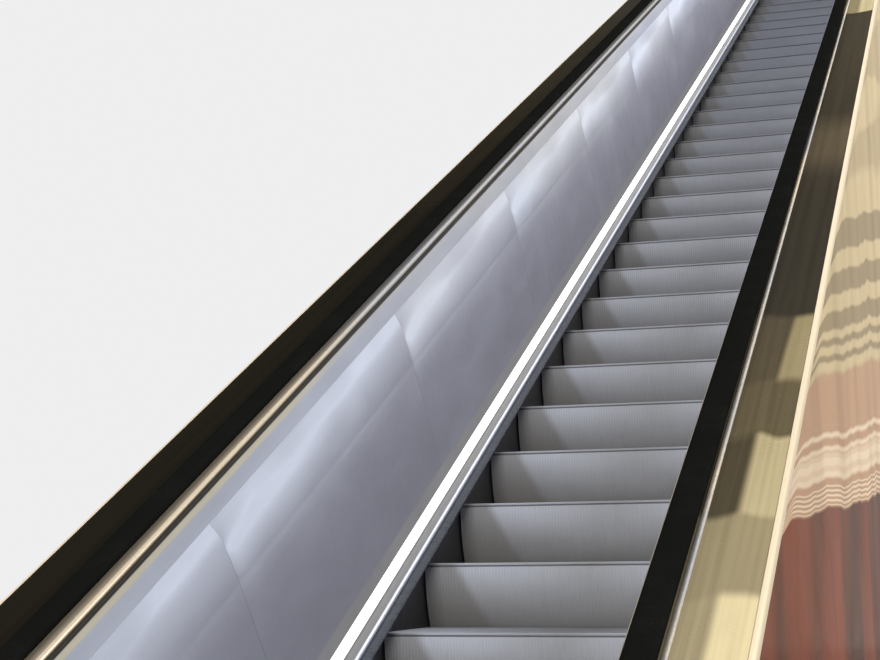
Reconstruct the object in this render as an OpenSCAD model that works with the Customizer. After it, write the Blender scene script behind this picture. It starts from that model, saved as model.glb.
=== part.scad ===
// Escalator with closed stainless steel balustrades, standing on its lower floor.
// X runs across the steps, Y along the travel, Z is up. Millimetres.
// A member's section is a list of [x, n]: x from the middle of the steps outward,
// n square to the line through the step nosings. Left members mirror the right ones.

/* [Travel] */
// Angle of the incline in degrees
incline = 27.3; // [25:0.1:35]
// Height between the two walking levels
rise = 7500; // [5500:50:9000]
// Length of level steps at the lower landing
lower_level = 1000; // [800:10:1600]
// Radius of the lower bend, at the nosings
lower_radius = 2000; // [1800:50:3000]
// Length of level steps at the upper landing
upper_level = 1450; // [800:10:1700]
// Radius of the upper bend, at the nosings
upper_radius = 2600; // [2000:50:3600]

/* [Steps] */
// Width of a step
step_width = 1000; // [600:10:1200]
// Distance from one step to the next along the band
step_pitch = 405; // [402:0.5:410]
// Depth of a tread
tread_depth = 400; // [390:1:400]
// Thickness of a tread
tread_thickness = 26; // [18:1:32]
// Thickness of the curved riser
riser_thickness = 9; // [6:1:12]
// Height of the curved riser
riser_height = 212; // [205:1:225]
// Thickness of a step's side cheek
cheek_thickness = 12; // [8:1:20]
// Diameter of a step roller
roller_diameter = 76; // [60:2:80]
// Width of a step roller
roller_width = 24; // [18:1:32]
// Width of one cleat on a tread
cleat_width = 3; // [2.5:0.1:4]
// Depth of the grooves between the cleats
groove_depth = 10.5; // [10:0.5:12]
// Number of cleated steps beside each comb
cleated_steps = 3; // [1:1:6]

/* [Landings] */
// Height of the level treads above the ground
tread_height = 44; // [40:1:90]
// Height of the floor plates above the level treads
floor_step = 20; // [14:1:26]
// Length of the lower landing, up to its comb
lower_landing = 2000; // [1800:20:2800]
// Length of the upper landing, from its comb
upper_landing = 2400; // [1800:20:3000]
// Thickness of a comb plate
comb_plate_thickness = 16; // [8:1:20]
// Length of a comb plate without its comb
comb_plate_length = 150; // [120:5:300]
// Length of the comb
comb_length = 110; // [80:5:150]
// Number of comb segments across the steps
comb_count = 5; // [3:1:8]
// Number of teeth on a comb segment
comb_teeth = 22; // [18:1:28]
// Length of a comb tooth
tooth_length = 50; // [40:1:60]
// Depth that a tooth reaches into its groove
tooth_depth = 5; // [4:0.5:6]
// Gap between a tooth and the cleats beside it
comb_clearance = 1.3; // [1:0.1:1.6]

/* [Handrail] */
// Height of the handrail's top, square to the nosing line
handrail_height = 856; // [800:1:980]
// Width of the handrail
handrail_width = 58; // [54:1:84]
// Thickness of the handrail
handrail_thickness = 20; // [20:1:30]
// Distance from the step's edge to the handrail's middle
handrail_offset = 46.5; // [40:0.5:60]
// Radius of the handrail's turn at a newel
turn_radius = 325; // [280:5:360]
// Distance from the comb line out to the newel's centre
newel_reach = 450; // [400:10:700]
// Distance from the newel's centre back to its base
newel_base = 120; // [80:5:200]

/* [Balustrade] */
// Thickness of the inner panels
panel_thickness = 3; // [2:0.5:5]
// Height of the inner panels' lower edge
panel_bottom = 150; // [116:1:160]
// Height of the inner panels' upper edge
panel_top = 700; // [680:1:740]
// Lean of the inner panels, outward from bottom to top
panel_lean = 22; // [10:1:40]
// Length of one inner panel along the incline
panel_length = 1394; // [1000:2:2000]
// Length of the first panel on the incline
first_panel = 530; // [300:10:1300]
// Gap between neighbouring panels
panel_gap = 2; // [1:0.5:4]
// Height of the deck beside the handrail
deck_height = 820; // [812:1:822]
// Radius of the rounded strip under the handrail
bead_radius = 12; // [9:1:14]
// Distance from the step's edge to the outside of the cladding
cladding_offset = 218; // [200:1:300]
// Thickness of the deck and cladding sheets
sheet_thickness = 3; // [2:0.5:4]
// Radius of the deck's outer edge
deck_edge = 12; // [8:1:16]
// Width of a balustrade post along the travel
post_width = 40; // [30:1:60]

/* [Skirt] */
// Gap between a step and the skirt
skirt_gap = 4; // [2:0.5:5]
// Thickness of the skirt
skirt_thickness = 6; // [3:0.5:8]
// Height of the skirt above the nosing line
skirt_top = 58; // [50:1:62]
// Depth of the skirt below the nosing line
skirt_depth = 240; // [200:5:280]
// Reach of the brush from the skirt
brush_reach = 50; // [40:1:54]
// Height of the brush where it is fixed
brush_height = 8; // [6:1:12]
// Height of the bright moulding that holds the brush
moulding_height = 16; // [12:1:16]
// Reach of the bright moulding from the skirt
moulding_reach = 25; // [20:1:30]
// Height of the light line
light_height = 32; // [24:1:34]

/* [Truss] */
// Depth of the truss below the nosing line
truss_depth = 950; // [880:10:1100]
// Height of a truss chord
chord_height = 80; // [60:5:100]
// Width of the truss sides
truss_width = 80; // [60:5:100]
// Length of a truss bay
truss_bay = 1500; // [1200:50:2000]
// Width of the truss posts and diagonals
brace_width = 50; // [40:5:80]
// Height and width of a cross beam
beam = 60; // [50:5:80]
// Depth of the upper bearing's seat below the treads
bearing_depth = 160; // [120:5:200]
// Reach of the upper bearing bracket past the truss
bearing_reach = 150; // [100:10:200]
// Thickness of the upper bearing bracket
bearing_thickness = 20; // [12:1:30]

/* [Hidden] */
half = step_width / 2;
far = 80000;
seat = 0.3;
plate_gap = 1;

// The path of the nosings: level, lower bend, incline, upper bend, level
comb_y = lower_landing;
bend_y = comb_y + lower_level;
slope_y = bend_y + lower_radius * sin(incline);
slope_z = tread_height + lower_radius * (1 - cos(incline));
slope_length = (rise - (lower_radius + upper_radius) * (1 - cos(incline))) / sin(incline);
crest_y = slope_y + slope_length * cos(incline);
level_y = crest_y + upper_radius * sin(incline);
upper_z = tread_height + rise;
upper_comb_y = level_y + upper_level;
end_y = upper_comb_y + upper_landing;
lower_arc = lower_radius * incline * PI / 180;
upper_arc = upper_radius * incline * PI / 180;
path_length = lower_level + lower_arc + slope_length + upper_arc + upper_level;

// Places across the section, from the step's edge outward
skirt_in = half + skirt_gap;
skirt_out = skirt_in + skirt_thickness;
rail_x = half + handrail_offset;
clad_out = half + cladding_offset;
clad_in = clad_out - sheet_thickness;
truss_in = clad_in - truss_width;
moulding_r = moulding_height / 2;
moulding_x = skirt_in + 4;
moulding_back = moulding_x + 6;
nose_x = skirt_in - moulding_reach + moulding_r;
nose_z = skirt_top + moulding_r / 2;
light_low = skirt_top + moulding_height + 2;
light_high = light_low + light_height;
light_x = moulding_x + 1.5;
light_slant = light_height * 0.42;
light_thickness = 6;
trim_back = moulding_back + 26;
panel_in = light_x + light_slant + 4.5;
function panel_x(n) = panel_in + panel_lean * (n - panel_bottom) / (panel_top - panel_bottom);
neck = 16;
head_width = handrail_width - 16;
head_top = handrail_height - 8;
head_bottom = head_top - 7;
lip_bottom = handrail_height - handrail_thickness;
bead_x = rail_x - handrail_width / 2 - 1.8;
bead_z = lip_bottom - 8 - bead_radius;
cap_top = bead_z - bead_radius;
guide_back = panel_x(cap_top) + panel_thickness + 7;

// Newels: centre of the turn and where the base begins
turn_n = handrail_height - turn_radius;
newel_y = comb_y - newel_reach;
base_y = newel_y + newel_base;
upper_newel_y = upper_comb_y + newel_reach;
upper_base_y = upper_newel_y - newel_base;

slope_bays = max(1, round(slope_length / panel_length));
bay_length = slope_length / slope_bays;

// Where the underside of the truss meets the ground
foot_y = slope_y + (truss_depth * cos(incline) - slope_z) / tan(incline) + truss_depth * sin(incline);

// Combs: one tooth in each groove between two cleats
cleat_count = comb_count * comb_teeth + 1;
cleat_pitch = (step_width - cleat_width) / (cleat_count - 1);
groove_width = cleat_pitch - cleat_width;
tooth_width = groove_width - 2 * comb_clearance;

// Frames along the path

module left() {
    mirror([1, 0, 0]) children();
}
// A section carried level from one Y place to another
module level_run(pts, y0, y1, level) {
    translate([0, y1, level]) rotate([90, 0, 0]) linear_extrude(y1 - y0) polygon(pts);
}
// The incline's frame turns about the lower bend's centre, so the runs meet exactly
module on_slope() {
    translate([0, bend_y, tread_height + lower_radius]) rotate([incline, 0, 0])
        translate([0, 0, -lower_radius]) children();
}
// The upper level's frame turns back about the upper bend's centre
module on_upper_bend() {
    on_slope() translate([0, slope_length, -upper_radius]) rotate([-incline, 0, 0]) children();
}
// A section carried up the incline, measured from the end of the lower bend
module slope_run(pts, s0, s1) {
    on_slope() translate([0, s1, 0])
        rotate([90, 0, 0]) linear_extrude(s1 - s0) polygon(pts);
}
// A section carried round the lower bend, whose centre is above the steps
module lower_bend(pts, a0 = 0, a1 = incline, dy = 0, dz = 0) {
    translate([0, bend_y + dy, tread_height + lower_radius + dz]) rotate([0, 90, 0]) rotate([0, 0, a0])
        rotate_extrude(angle = a1 - a0, $fn = 360)
            polygon([for (p = pts) [lower_radius - p[1], p[0]]]);
}
// A section carried round the upper bend, whose centre is below the steps
module upper_bend(pts, a0 = 0, a1 = incline, dy = 0, dz = 0) {
    on_upper_bend() translate([0, dy, dz]) rotate([180, 0, 0]) rotate([0, 90, 0])
        rotate([0, 0, a0]) rotate_extrude(angle = a1 - a0, $fn = 360)
            polygon([for (p = pts) [upper_radius + p[1], p[0]]]);
}
// A section carried level, measured from the end of the upper bend
module upper_run(pts, y0, y1) {
    on_upper_bend() translate([0, y1, upper_radius])
        rotate([90, 0, 0]) linear_extrude(y1 - y0) polygon(pts);
}
// A section carried round the lower newel, outward and down
module newel_turn(pts, angle = 180) {
    translate([0, newel_y, tread_height + turn_n]) rotate([180, 0, 0]) rotate([0, 90, 0])
        rotate_extrude(angle = angle, $fn = 120) polygon([for (p = pts) [p[1] - turn_n, p[0]]]);
}
// The upper end is the lower end seen the other way
module upper_end() {
    on_upper_bend() translate([0, upper_level + comb_y, upper_radius - tread_height])
        mirror([0, 1, 0]) children();
}
module above_ground(z = 0) {
    intersection() {
        children();
        translate([-far / 2, -far / 2, z]) cube([far, far, far]);
    }
}
// One unbroken member
module run(pts, y0, y1) {
    level_run(pts, y0, bend_y, tread_height);
    lower_bend(pts);
    slope_run(pts, 0, slope_length);
    upper_bend(pts);
    upper_run(pts, 0, y1 - level_y);
}
// Joints on the incline: equal bays, or panels of one length after a short first one
function even(count) = [for (i = [0 : count]) i * slope_length / count];
function panel_joints() = concat([0],
    [for (s = first_panel; s < slope_length - 300; s = s + panel_length) s], [slope_length]);
// A member in bays, with a gap between one bay and the next
module bays(pts, y0, y1, joints, gap) {
    g = gap / 2;
    low = asin(g / (lower_radius - handrail_height));
    high = asin(g / upper_radius);
    level_run(pts, y0, bend_y - g, tread_height);
    lower_bend(pts, low, incline - low);
    for (i = [0 : len(joints) - 2])
        slope_run(pts, joints[i] + g, joints[i + 1] - g);
    upper_bend(pts, high, incline - high);
    upper_run(pts, g, y1 - level_y);
}
// A plate drawn in Y and Z, with its thickness across
module across(x0, x1) {
    translate([x0, 0, 0]) rotate([90, 0, 90]) linear_extrude(x1 - x0) children();
}

// Steps

// Nosing place at a distance along the path from the lower comb: [y, z]
function nosing(s) =
    let (s1 = lower_level, s2 = s1 + lower_arc, s3 = s2 + slope_length, s4 = s3 + upper_arc)
    s < s1 ? [comb_y + s, tread_height] :
    s < s2 ? let (a = (s - s1) / lower_radius * 180 / PI)
        [bend_y + lower_radius * sin(a), tread_height + lower_radius * (1 - cos(a))] :
    s < s3 ? [slope_y + (s - s2) * cos(incline), slope_z + (s - s2) * sin(incline)] :
    s < s4 ? let (a = (s4 - s) / upper_radius * 180 / PI)
        [level_y - upper_radius * sin(a), upper_z - upper_radius * (1 - cos(a))] :
    [level_y + s - s4, upper_z];

first_step = -215;
step_count = floor((path_length - 165 - first_step) / step_pitch) + 1;
flight_start = ceil((lower_level + lower_arc - first_step) / step_pitch);
flight_end = floor((path_length - upper_level - upper_arc - first_step) / step_pitch) + 1;
flight_third = round((flight_end - flight_start) / 3);
roller_y = 110;
roller_z = -188;
riser_angle = asin(riser_height / tread_depth);
riser_inner = tread_depth - riser_thickness;

// Tread and riser, with the nosing at the origin
module step_outline() {
    difference() {
        union() {
            translate([riser_thickness * 0.5, -tread_thickness])
                square([tread_depth - riser_thickness * 0.5, tread_thickness]);
            intersection() {
                difference() {
                    translate([tread_depth, 0]) circle(r = tread_depth, $fn = 180);
                    translate([tread_depth, 0]) circle(r = riser_inner, $fn = 180);
                }
                translate([-1, -riser_height]) square([tread_depth / 2, riser_height]);
            }
        }
        translate([0.8, -11]) circle(r = 1.6, $fn = 8);
    }
}
module cheek_outline() {
    polygon([[riser_thickness + 10, -tread_thickness + 1], [tread_depth - 8, -tread_thickness + 1],
        [tread_depth - 8, -tread_thickness - 18], [roller_y + 44, roller_z - 10],
        [roller_y - 22, roller_z - 20], [roller_y - 34, roller_z + 10], [48, -120]]);
}
// Grooves along a tread, cut through the nosing
module grooves() {
    translate([0, tread_depth + 1, 0]) rotate([90, 0, 0]) linear_extrude(tread_depth + 2)
        for (i = [0 : cleat_count - 2])
            translate([-half + cleat_width + i * cleat_pitch, -groove_depth])
                square([groove_width, groove_depth + 1]);
}
module one_step(cleated) {
    difference() {
        across(-half, half) step_outline();
        if (cleated) grooves();
    }
    for (x = [-half + 2, half - 2 - cheek_thickness])
        across(x, x + cheek_thickness) cheek_outline();
    for (x = [-half + 2 + cheek_thickness, half - 2 - cheek_thickness - roller_width])
        translate([x, roller_y, roller_z]) rotate([0, 90, 0])
            cylinder(d = roller_diameter, h = roller_width, $fn = 36);
}
// The steps that the combs reach into have their cleats
module steps(first, last) {
    color("silver") above_ground(sheet_thickness)
        for (i = [first : last])
            let (p = nosing(first_step + i * step_pitch)) translate([0, p[0], p[1]])
                one_step(i < cleated_steps || i >= step_count - cleated_steps);
}
module steps_lower_landing() {
    steps(0, flight_start - 1);
}
module steps_lower_flight() {
    steps(flight_start, flight_start + flight_third - 1);
}
module steps_middle_flight() {
    steps(flight_start + flight_third, flight_start + 2 * flight_third - 1);
}
module steps_upper_flight() {
    steps(flight_start + 2 * flight_third, flight_end - 1);
}
module steps_upper_landing() {
    steps(flight_end, step_count - 1);
}

// Rails below the rollers. The rollers follow the nosings' path, moved by their own offset.
track_drop = roller_diameter / 2 + seat;
track_height = 14;
track_n = roller_z * cos(incline) - roller_y * sin(incline) - track_drop;
track_s = roller_y * cos(incline) + roller_z * sin(incline);
track_floor = track_n - track_height;
track_joint = asin(plate_gap / upper_radius);
module step_tracks() {
    color("dimgray") above_ground(sheet_thickness)
        for (x = [-half + 2 + cheek_thickness, half - 2 - cheek_thickness - roller_width]) {
            low = [[x, -track_drop - track_height], [x + roller_width, -track_drop - track_height],
                [x + roller_width, -track_drop], [x, -track_drop]];
            tilted = [for (p = low) [p[0], p[1] + track_drop + track_n]];
            lower_bend(low, 0, incline - track_joint, roller_y, roller_z);
            slope_run(tilted, track_s, slope_length + track_s);
            upper_bend(low, track_joint, incline - track_joint, roller_y, roller_z);
            upper_run([for (p = low) [p[0], p[1] + roller_z]], roller_y, upper_level + 60);
        }
}

// Landings

comb_edge = skirt_in - 1;
plate_end = comb_y - comb_length - comb_plate_length;
// Two plates across the whole width and one between the skirts
module floor_plates(start) {
    middle = (start + base_y) / 2;
    edge = base_y - panel_gap - sheet_thickness;
    for (y = [[start, middle - plate_gap], [middle, edge]])
        translate([-clad_out, y[0], tread_height])
            cube([2 * clad_out, y[1] - y[0], floor_step]);
    translate([-comb_edge, edge + plate_gap, tread_height])
        cube([2 * comb_edge, plate_end - edge - 2 * plate_gap, floor_step]);
}
module floor_plates_lower() {
    color("gray") floor_plates(-beam / 2);
}
module floor_plates_upper() {
    color("gray") upper_end() floor_plates(comb_y - upper_landing);
}
module comb_plate() {
    top = tread_height + floor_step;
    y = plate_end + comb_plate_length;
    color("silver") across(-comb_edge, comb_edge)
        polygon([[plate_end, tread_height], [plate_end, top], [y, top], [y, top - 6],
            [y + 40, top - 8], [y + 40, top - comb_plate_thickness],
            [plate_end + 18, top - comb_plate_thickness], [plate_end + 18, tread_height]]);
}
// Joint between two comb segments, in line with a cleat
function comb_joint(i) = -half + cleat_width / 2 + i * comb_teeth * cleat_pitch;
function tooth_x(i) = -half + cleat_width + groove_width / 2 + i * cleat_pitch;
module comb_body() {
    top = tread_height + floor_step;
    y = plate_end + comb_plate_length;
    root = comb_y - tooth_length;
    polygon([[y, top - 6], [y, top], [y + 30, top - 1], [root, tread_height + 11],
        [root, tread_height + plate_gap], [y + 42, tread_height + plate_gap], [y + 42, top - 8.1], [y + 40, top - 8]]);
}
module comb_tooth() {
    low = tread_height - tooth_depth;
    root = comb_y - tooth_length - 2;
    polygon([[root, low], [root, tread_height + 10], [comb_y - 6, tread_height + 3],
        [comb_y, tread_height + 0.5], [comb_y, low + 2], [comb_y - 2, low]]);
}
module combs() {
    color("goldenrod")
        for (i = [0 : comb_count - 1]) {
            across(i == 0 ? -comb_edge : comb_joint(i) + 0.5,
                i == comb_count - 1 ? comb_edge : comb_joint(i + 1) - 0.5) comb_body();
            for (t = [0 : comb_teeth - 1])
                let (x = tooth_x(i * comb_teeth + t))
                    across(x - tooth_width / 2, x + tooth_width / 2) comb_tooth();
        }
}
module comb_plate_lower() {
    comb_plate();
}
module comb_plate_upper() {
    upper_end() comb_plate();
}
module combs_lower() {
    combs();
}
module combs_upper() {
    upper_end() combs();
}

// Skirts and the lit trim above them

module skirt_right() {
    color("dimgray") above_ground(sheet_thickness) bays([[skirt_in, -skirt_depth], [skirt_out, -skirt_depth],
        [skirt_out, skirt_top], [skirt_in, skirt_top]], base_y, upper_base_y, even(slope_bays), panel_gap);
}
module skirt_left() {
    left() skirt_right();
}
module skirt_brush_right() {
    top = nose_z - moulding_r;
    tip = skirt_in - brush_reach;
    color("slategray") run([[skirt_in - 4, top], [nose_x + 1, top], [tip, top - 3.5], [tip, top - 9.5],
        [nose_x + 1, top - brush_height], [skirt_in - 4, top - brush_height]], base_y, upper_base_y);
}
module skirt_brush_left() {
    left() skirt_brush_right();
}
module skirt_moulding_right() {
    under = nose_z - moulding_r;
    color("lightgray") run(concat([for (a = [90 : 15 : 270])
        [nose_x + moulding_r * cos(a), nose_z + moulding_r * sin(a)]],
        [[skirt_in - seat, under], [skirt_in - seat, skirt_top], [moulding_back, skirt_top],
        [moulding_back, skirt_top + moulding_height], [moulding_x, skirt_top + moulding_height]]),
        base_y, upper_base_y);
}
module skirt_moulding_left() {
    left() skirt_moulding_right();
}
module light_line_right() {
    color("white") run([[light_x, light_low], [light_x + light_thickness, light_low],
        [light_x + light_slant + light_thickness, light_high], [light_x + light_slant, light_high]],
        base_y, upper_base_y);
}
module light_line_left() {
    left() light_line_right();
}
module light_trim_right() {
    color("gray") run([[skirt_out, skirt_top - 18], [trim_back, skirt_top - 18],
        [trim_back, panel_bottom], [panel_in, panel_bottom], [light_x + light_slant, light_high],
        [light_x + light_slant + light_thickness, light_high], [light_x + light_thickness, light_low],
        [light_x, light_low], [light_x, skirt_top + moulding_height],
        [moulding_back, skirt_top + moulding_height], [moulding_back, skirt_top],
        [skirt_out, skirt_top]], base_y, upper_base_y);
}
module light_trim_left() {
    left() light_trim_right();
}
module inner_panels_right() {
    low = panel_top + panel_gap;
    color("lightsteelblue") {
        bays([[panel_in, panel_bottom], [panel_in + panel_thickness, panel_bottom],
            [panel_x(panel_top) + panel_thickness, panel_top], [panel_x(panel_top), panel_top]],
            base_y, upper_base_y, panel_joints(), panel_gap);
        run([[panel_x(low), low], [panel_x(low) + panel_thickness, low],
            [panel_x(cap_top) + panel_thickness, cap_top], [panel_x(cap_top), cap_top]],
            base_y, upper_base_y);
    }
}
module inner_panels_left() {
    left() inner_panels_right();
}

// Handrail, guide and deck, which turn round the newels

module turned_run(pts) {
    run(pts, newel_y, upper_newel_y);
    newel_turn(pts);
    upper_end() newel_turn(pts);
}
module handrail_right() {
    w = handrail_width / 2;
    h = head_width / 2 + seat;
    m = neck / 2 + 4;
    pts = [for (p = [[-w + 8, handrail_height - 3.5], [-w + 20, handrail_height], [w - 20, handrail_height],
        [w - 8, handrail_height - 3.5], [w - 1, handrail_height - 10], [w, handrail_height - 15],
        [w - 3, lip_bottom + 2], [w - 8, lip_bottom], [m, lip_bottom], [m, head_bottom - seat],
        [h, head_bottom - seat], [h, head_top + seat], [-h, head_top + seat], [-h, head_bottom - seat],
        [-m, head_bottom - seat], [-m, lip_bottom], [-w + 8, lip_bottom], [-w + 3, lip_bottom + 2],
        [-w, handrail_height - 15], [-w + 1, handrail_height - 10]]) [rail_x + p[0], p[1]]];
    color("black") {
        turned_run(pts);
        low = [for (p = pts) [p[0], 2 * turn_n - p[1]]];
        level_run(low, newel_y, base_y + 20, tread_height);
        upper_end() level_run(low, newel_y, base_y + 20, tread_height);
    }
}
module handrail_left() {
    left() handrail_right();
}
module handrail_guide_right() {
    color("tan") turned_run(concat([[guide_back, cap_top], [guide_back, deck_height], [rail_x + neck / 2, deck_height], [rail_x + neck / 2, head_bottom],
        [rail_x + head_width / 2, head_bottom], [rail_x + head_width / 2, head_top],
        [rail_x - head_width / 2, head_top], [rail_x - head_width / 2, head_bottom],
        [rail_x - neck / 2, head_bottom], [rail_x - neck / 2, bead_z + bead_radius]],
        [for (a = [90 : 15 : 270]) [bead_x + bead_radius * cos(a), bead_z + bead_radius * sin(a)]]));
}
module handrail_guide_left() {
    left() handrail_guide_right();
}
module outer_deck_right() {
    o = deck_edge;
    i = deck_edge - sheet_thickness;
    cx = clad_out - deck_edge;
    cn = deck_height - deck_edge;
    color("darkgoldenrod") turned_run(concat([[guide_back, deck_height - sheet_thickness], [guide_back, deck_height]],
        [for (a = [90 : -15 : 0]) [cx + o * cos(a), cn + o * sin(a)]],
        [[clad_out, cn - 10], [clad_in, cn - 10]],
        [for (a = [0 : 15 : 90]) [cx + i * cos(a), cn + i * sin(a)]]));
}
module outer_deck_left() {
    left() outer_deck_right();
}
cladding_top = deck_height - deck_edge - 11;
module outer_cladding_right() {
    color("tan") above_ground() bays([[clad_in, -truss_depth], [clad_out, -truss_depth],
        [clad_out, cladding_top], [clad_in, cladding_top]],
        base_y, upper_base_y, even(round(slope_bays / 2)), panel_gap);
    color("tan") {
        upper_end() translate([clad_in, comb_y - upper_landing, tread_height - truss_depth])
            cube([sheet_thickness, base_y - panel_gap - comb_y + upper_landing, truss_depth]);
        translate([clad_in, -beam / 2, 0])
            cube([sheet_thickness, base_y + beam / 2 - panel_gap, tread_height]);
    }
}
module outer_cladding_left() {
    left() outer_cladding_right();
}

// Posts that carry the panels, guide and deck on the truss

module balustrade_posts_right() {
    out = clad_in;
    leg = clad_in - 42;
    under = deck_height - sheet_thickness;
    pts = [[out, 0], [out, under - 12], [out - 12, under], [guide_back, under], [guide_back, under - 36],
        [leg, under - 36], [leg, 110], [trim_back, 110], [trim_back, 60], [leg, 60], [leg, 0]];
    w = post_width / 2;
    color("dimgray") {
        for (y = [base_y + 60, bend_y - post_width])
            level_run(pts, y - w, y + w, tread_height);
        for (i = [0 : slope_bays])
            slope_run(pts, i * bay_length - w, i * bay_length + w);
        for (a = [0.5])
            upper_bend(pts, incline * a - 0.5, incline * a + 0.5);
        for (y = [level_y, upper_base_y - 60])
            upper_run(pts, y - w - level_y, y + w - level_y);
    }
}
module balustrade_posts_left() {
    left() balustrade_posts_right();
}

// Newels: a closed drum and the box behind it, with the closed end of the base below

module newel_right() {
    under = deck_height - sheet_thickness;
    color("lightsteelblue") {
        newel_turn([[panel_x(turn_n), turn_n], [clad_out, turn_n], [clad_out, cladding_top],
            [clad_in, cladding_top], [clad_in - 12, under], [guide_back, under], [guide_back, cap_top],
            [panel_x(cap_top), cap_top]]);
        low = 2 * turn_n - cap_top;
        level_run([[panel_x(low), low], [clad_out, low], [clad_out, cladding_top],
            [clad_in, cladding_top], [clad_in - 12, under], [guide_back, under], [guide_back, cap_top],
            [panel_x(cap_top), cap_top]], newel_y, base_y - seat, tread_height);
        difference() {
            level_run([[skirt_in, floor_step], [clad_out, floor_step], [clad_out, low],
                [skirt_in, low]], base_y - seat - sheet_thickness, base_y - seat, tread_height);
            inlet_slot();
        }
    }
}
module newel_lower_right() {
    newel_right();
}
module newel_lower_left() {
    left() newel_right();
}
module newel_upper_right() {
    upper_end() newel_right();
}
module newel_upper_left() {
    left() upper_end() newel_right();
}
inlet_low = handrail_height - 2 * turn_radius;
module inlet_slot() {
    translate([rail_x - handrail_width / 2 - 0.5, base_y - 60, tread_height + inlet_low - 0.5])
        cube([handrail_width + 1, 120, handrail_thickness + 1]);
}
module inlet() {
    w = handrail_width / 2 + 12;
    color("black")
        difference() {
            translate([rail_x - w, base_y - seat - sheet_thickness - 30, tread_height + inlet_low - 14])
                cube([2 * w, 30, handrail_thickness + 28]);
            inlet_slot();
        }
}
module handrail_inlets() {
    for (s = [0, 1])
        mirror([s, 0, 0]) {
            inlet();
            upper_end() inlet();
        }
}

// Truss

// A lattice side drawn along a chord of the given length
module lattice(length) {
    n = max(1, round(length / truss_bay));
    l = length / n;
    b = brace_width;
    low = -truss_depth + chord_height;
    high = -chord_height;
    difference() {
        translate([0, -truss_depth]) square([length, truss_depth]);
        for (i = [0 : n - 1]) {
            x0 = i * l + b / 2;
            x1 = (i + 1) * l - b / 2;
            d = b * 1.1;
            if (i % 2 == 0) {
                polygon([[x0, low + d], [x0, high], [x1 - d, high]]);
                polygon([[x0 + d, low], [x1, low], [x1, high - d]]);
            } else {
                polygon([[x0 + d, high], [x1, high], [x1, low + d]]);
                polygon([[x0, high - d], [x0, low], [x1 - d, low]]);
            }
        }
    }
}
chord_top = [[truss_in, -chord_height], [clad_in, -chord_height], [clad_in, 0], [truss_in, 0]];
chord_bottom = [[truss_in, -truss_depth], [clad_in, -truss_depth],
    [clad_in, -truss_depth + chord_height], [truss_in, -truss_depth + chord_height]];
module truss_right() {
    color("dimgray") above_ground() {
        level_run(chord_top, -beam / 2, bend_y, tread_height);
        lower_bend(chord_top);
        across(truss_in + sheet_thickness, clad_in - sheet_thickness)
            polygon([[bend_y, -chord_height / 2], [foot_y - 2 * chord_height, -chord_height / 2],
                [foot_y + chord_height / 4, chord_height], [slope_y, chord_height]]);
        on_slope() across(truss_in, clad_in) lattice(slope_length);
        upper_bend(chord_top);
        upper_bend(chord_bottom);
        on_upper_bend() translate([0, 0, upper_radius]) across(truss_in, clad_in)
            lattice(end_y - level_y - bearing_thickness);
    }
}
module truss_left() {
    left() truss_right();
}
module truss_cross_members() {
    w = truss_in;
    high = [[-w, track_floor - beam], [w, track_floor - beam], [w, track_floor], [-w, track_floor]];
    low = [[-w, -truss_depth], [w, -truss_depth], [w, -truss_depth + beam], [-w, -truss_depth + beam]];
    n = max(1, round(slope_length / truss_bay));
    l = slope_length / n;
    level_top = roller_z - track_drop - track_height;
    level_high = [[-w, level_top - beam], [w, level_top - beam], [w, level_top], [-w, level_top]];
    color("dimgray") above_ground(sheet_thickness) {
        for (i = [0 : n])
            slope_run(high, i * l - beam / 2, i * l + beam / 2);
        for (i = [1 : n])
            slope_run(low, i * l - beam / 2, i * l + beam / 2);
        for (y = [level_y, upper_comb_y - beam])
            upper_run(level_high, y - level_y, y + beam - level_y);
        for (y = [level_y, (level_y + end_y) / 2, end_y - bearing_thickness - beam])
            upper_run(low, y - level_y, y + beam - level_y);
    }
    color("dimgray") {
        above_ground(sheet_thickness) landing_beams(-beam / 2);
        upper_end() landing_beams(comb_y - upper_landing + bearing_thickness);
    }
}
// Beams below the floor plates of a landing
module landing_beams(start) {
    edge = base_y - panel_gap - sheet_thickness;
    middle = (start + base_y) / 2;
    for (y = [middle - beam / 2, edge - beam - 2])
        translate([-truss_in, y, tread_height - beam]) cube([2 * truss_in, beam, beam]);
    translate([-skirt_in, plate_end - beam + 20, tread_height - beam])
        cube([2 * skirt_in, beam, beam]);
}
// The sheet on the ground under the lower steps, and the sheets below the truss
module bottom_sheets() {
    pts = [[-clad_out, -truss_depth - sheet_thickness], [clad_out, -truss_depth - sheet_thickness],
        [clad_out, -truss_depth], [-clad_out, -truss_depth]];
    count = round(slope_bays / 2);
    l = slope_length / count;
    g = panel_gap / 2;
    color("gray") {
        translate([-truss_in, base_y, 0])
            cube([2 * truss_in, foot_y - base_y, sheet_thickness]);
        above_ground() {
            for (i = [0 : count - 1])
                slope_run(pts, i * l + g, (i + 1) * l - g);
            upper_bend(pts, asin(g / upper_radius), incline);
            upper_run(pts, 0, end_y - level_y);
        }
    }
}
module end_beam_lower() {
    color("dimgray") translate([-truss_in, -beam / 2, 0])
        cube([2 * truss_in, beam, tread_height]);
}
module end_frame_upper() {
    y = comb_y - upper_landing;
    t = bearing_thickness;
    low = tread_height - truss_depth;
    ledge = tread_height - bearing_depth;
    color("dimgray") upper_end() across(-clad_in, clad_in)
        polygon([[y + t, low], [y + t, tread_height], [y, tread_height], [y, ledge + t],
            [y - bearing_reach, ledge + t], [y - bearing_reach, ledge], [y, ledge], [y, low]]);
}

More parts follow.
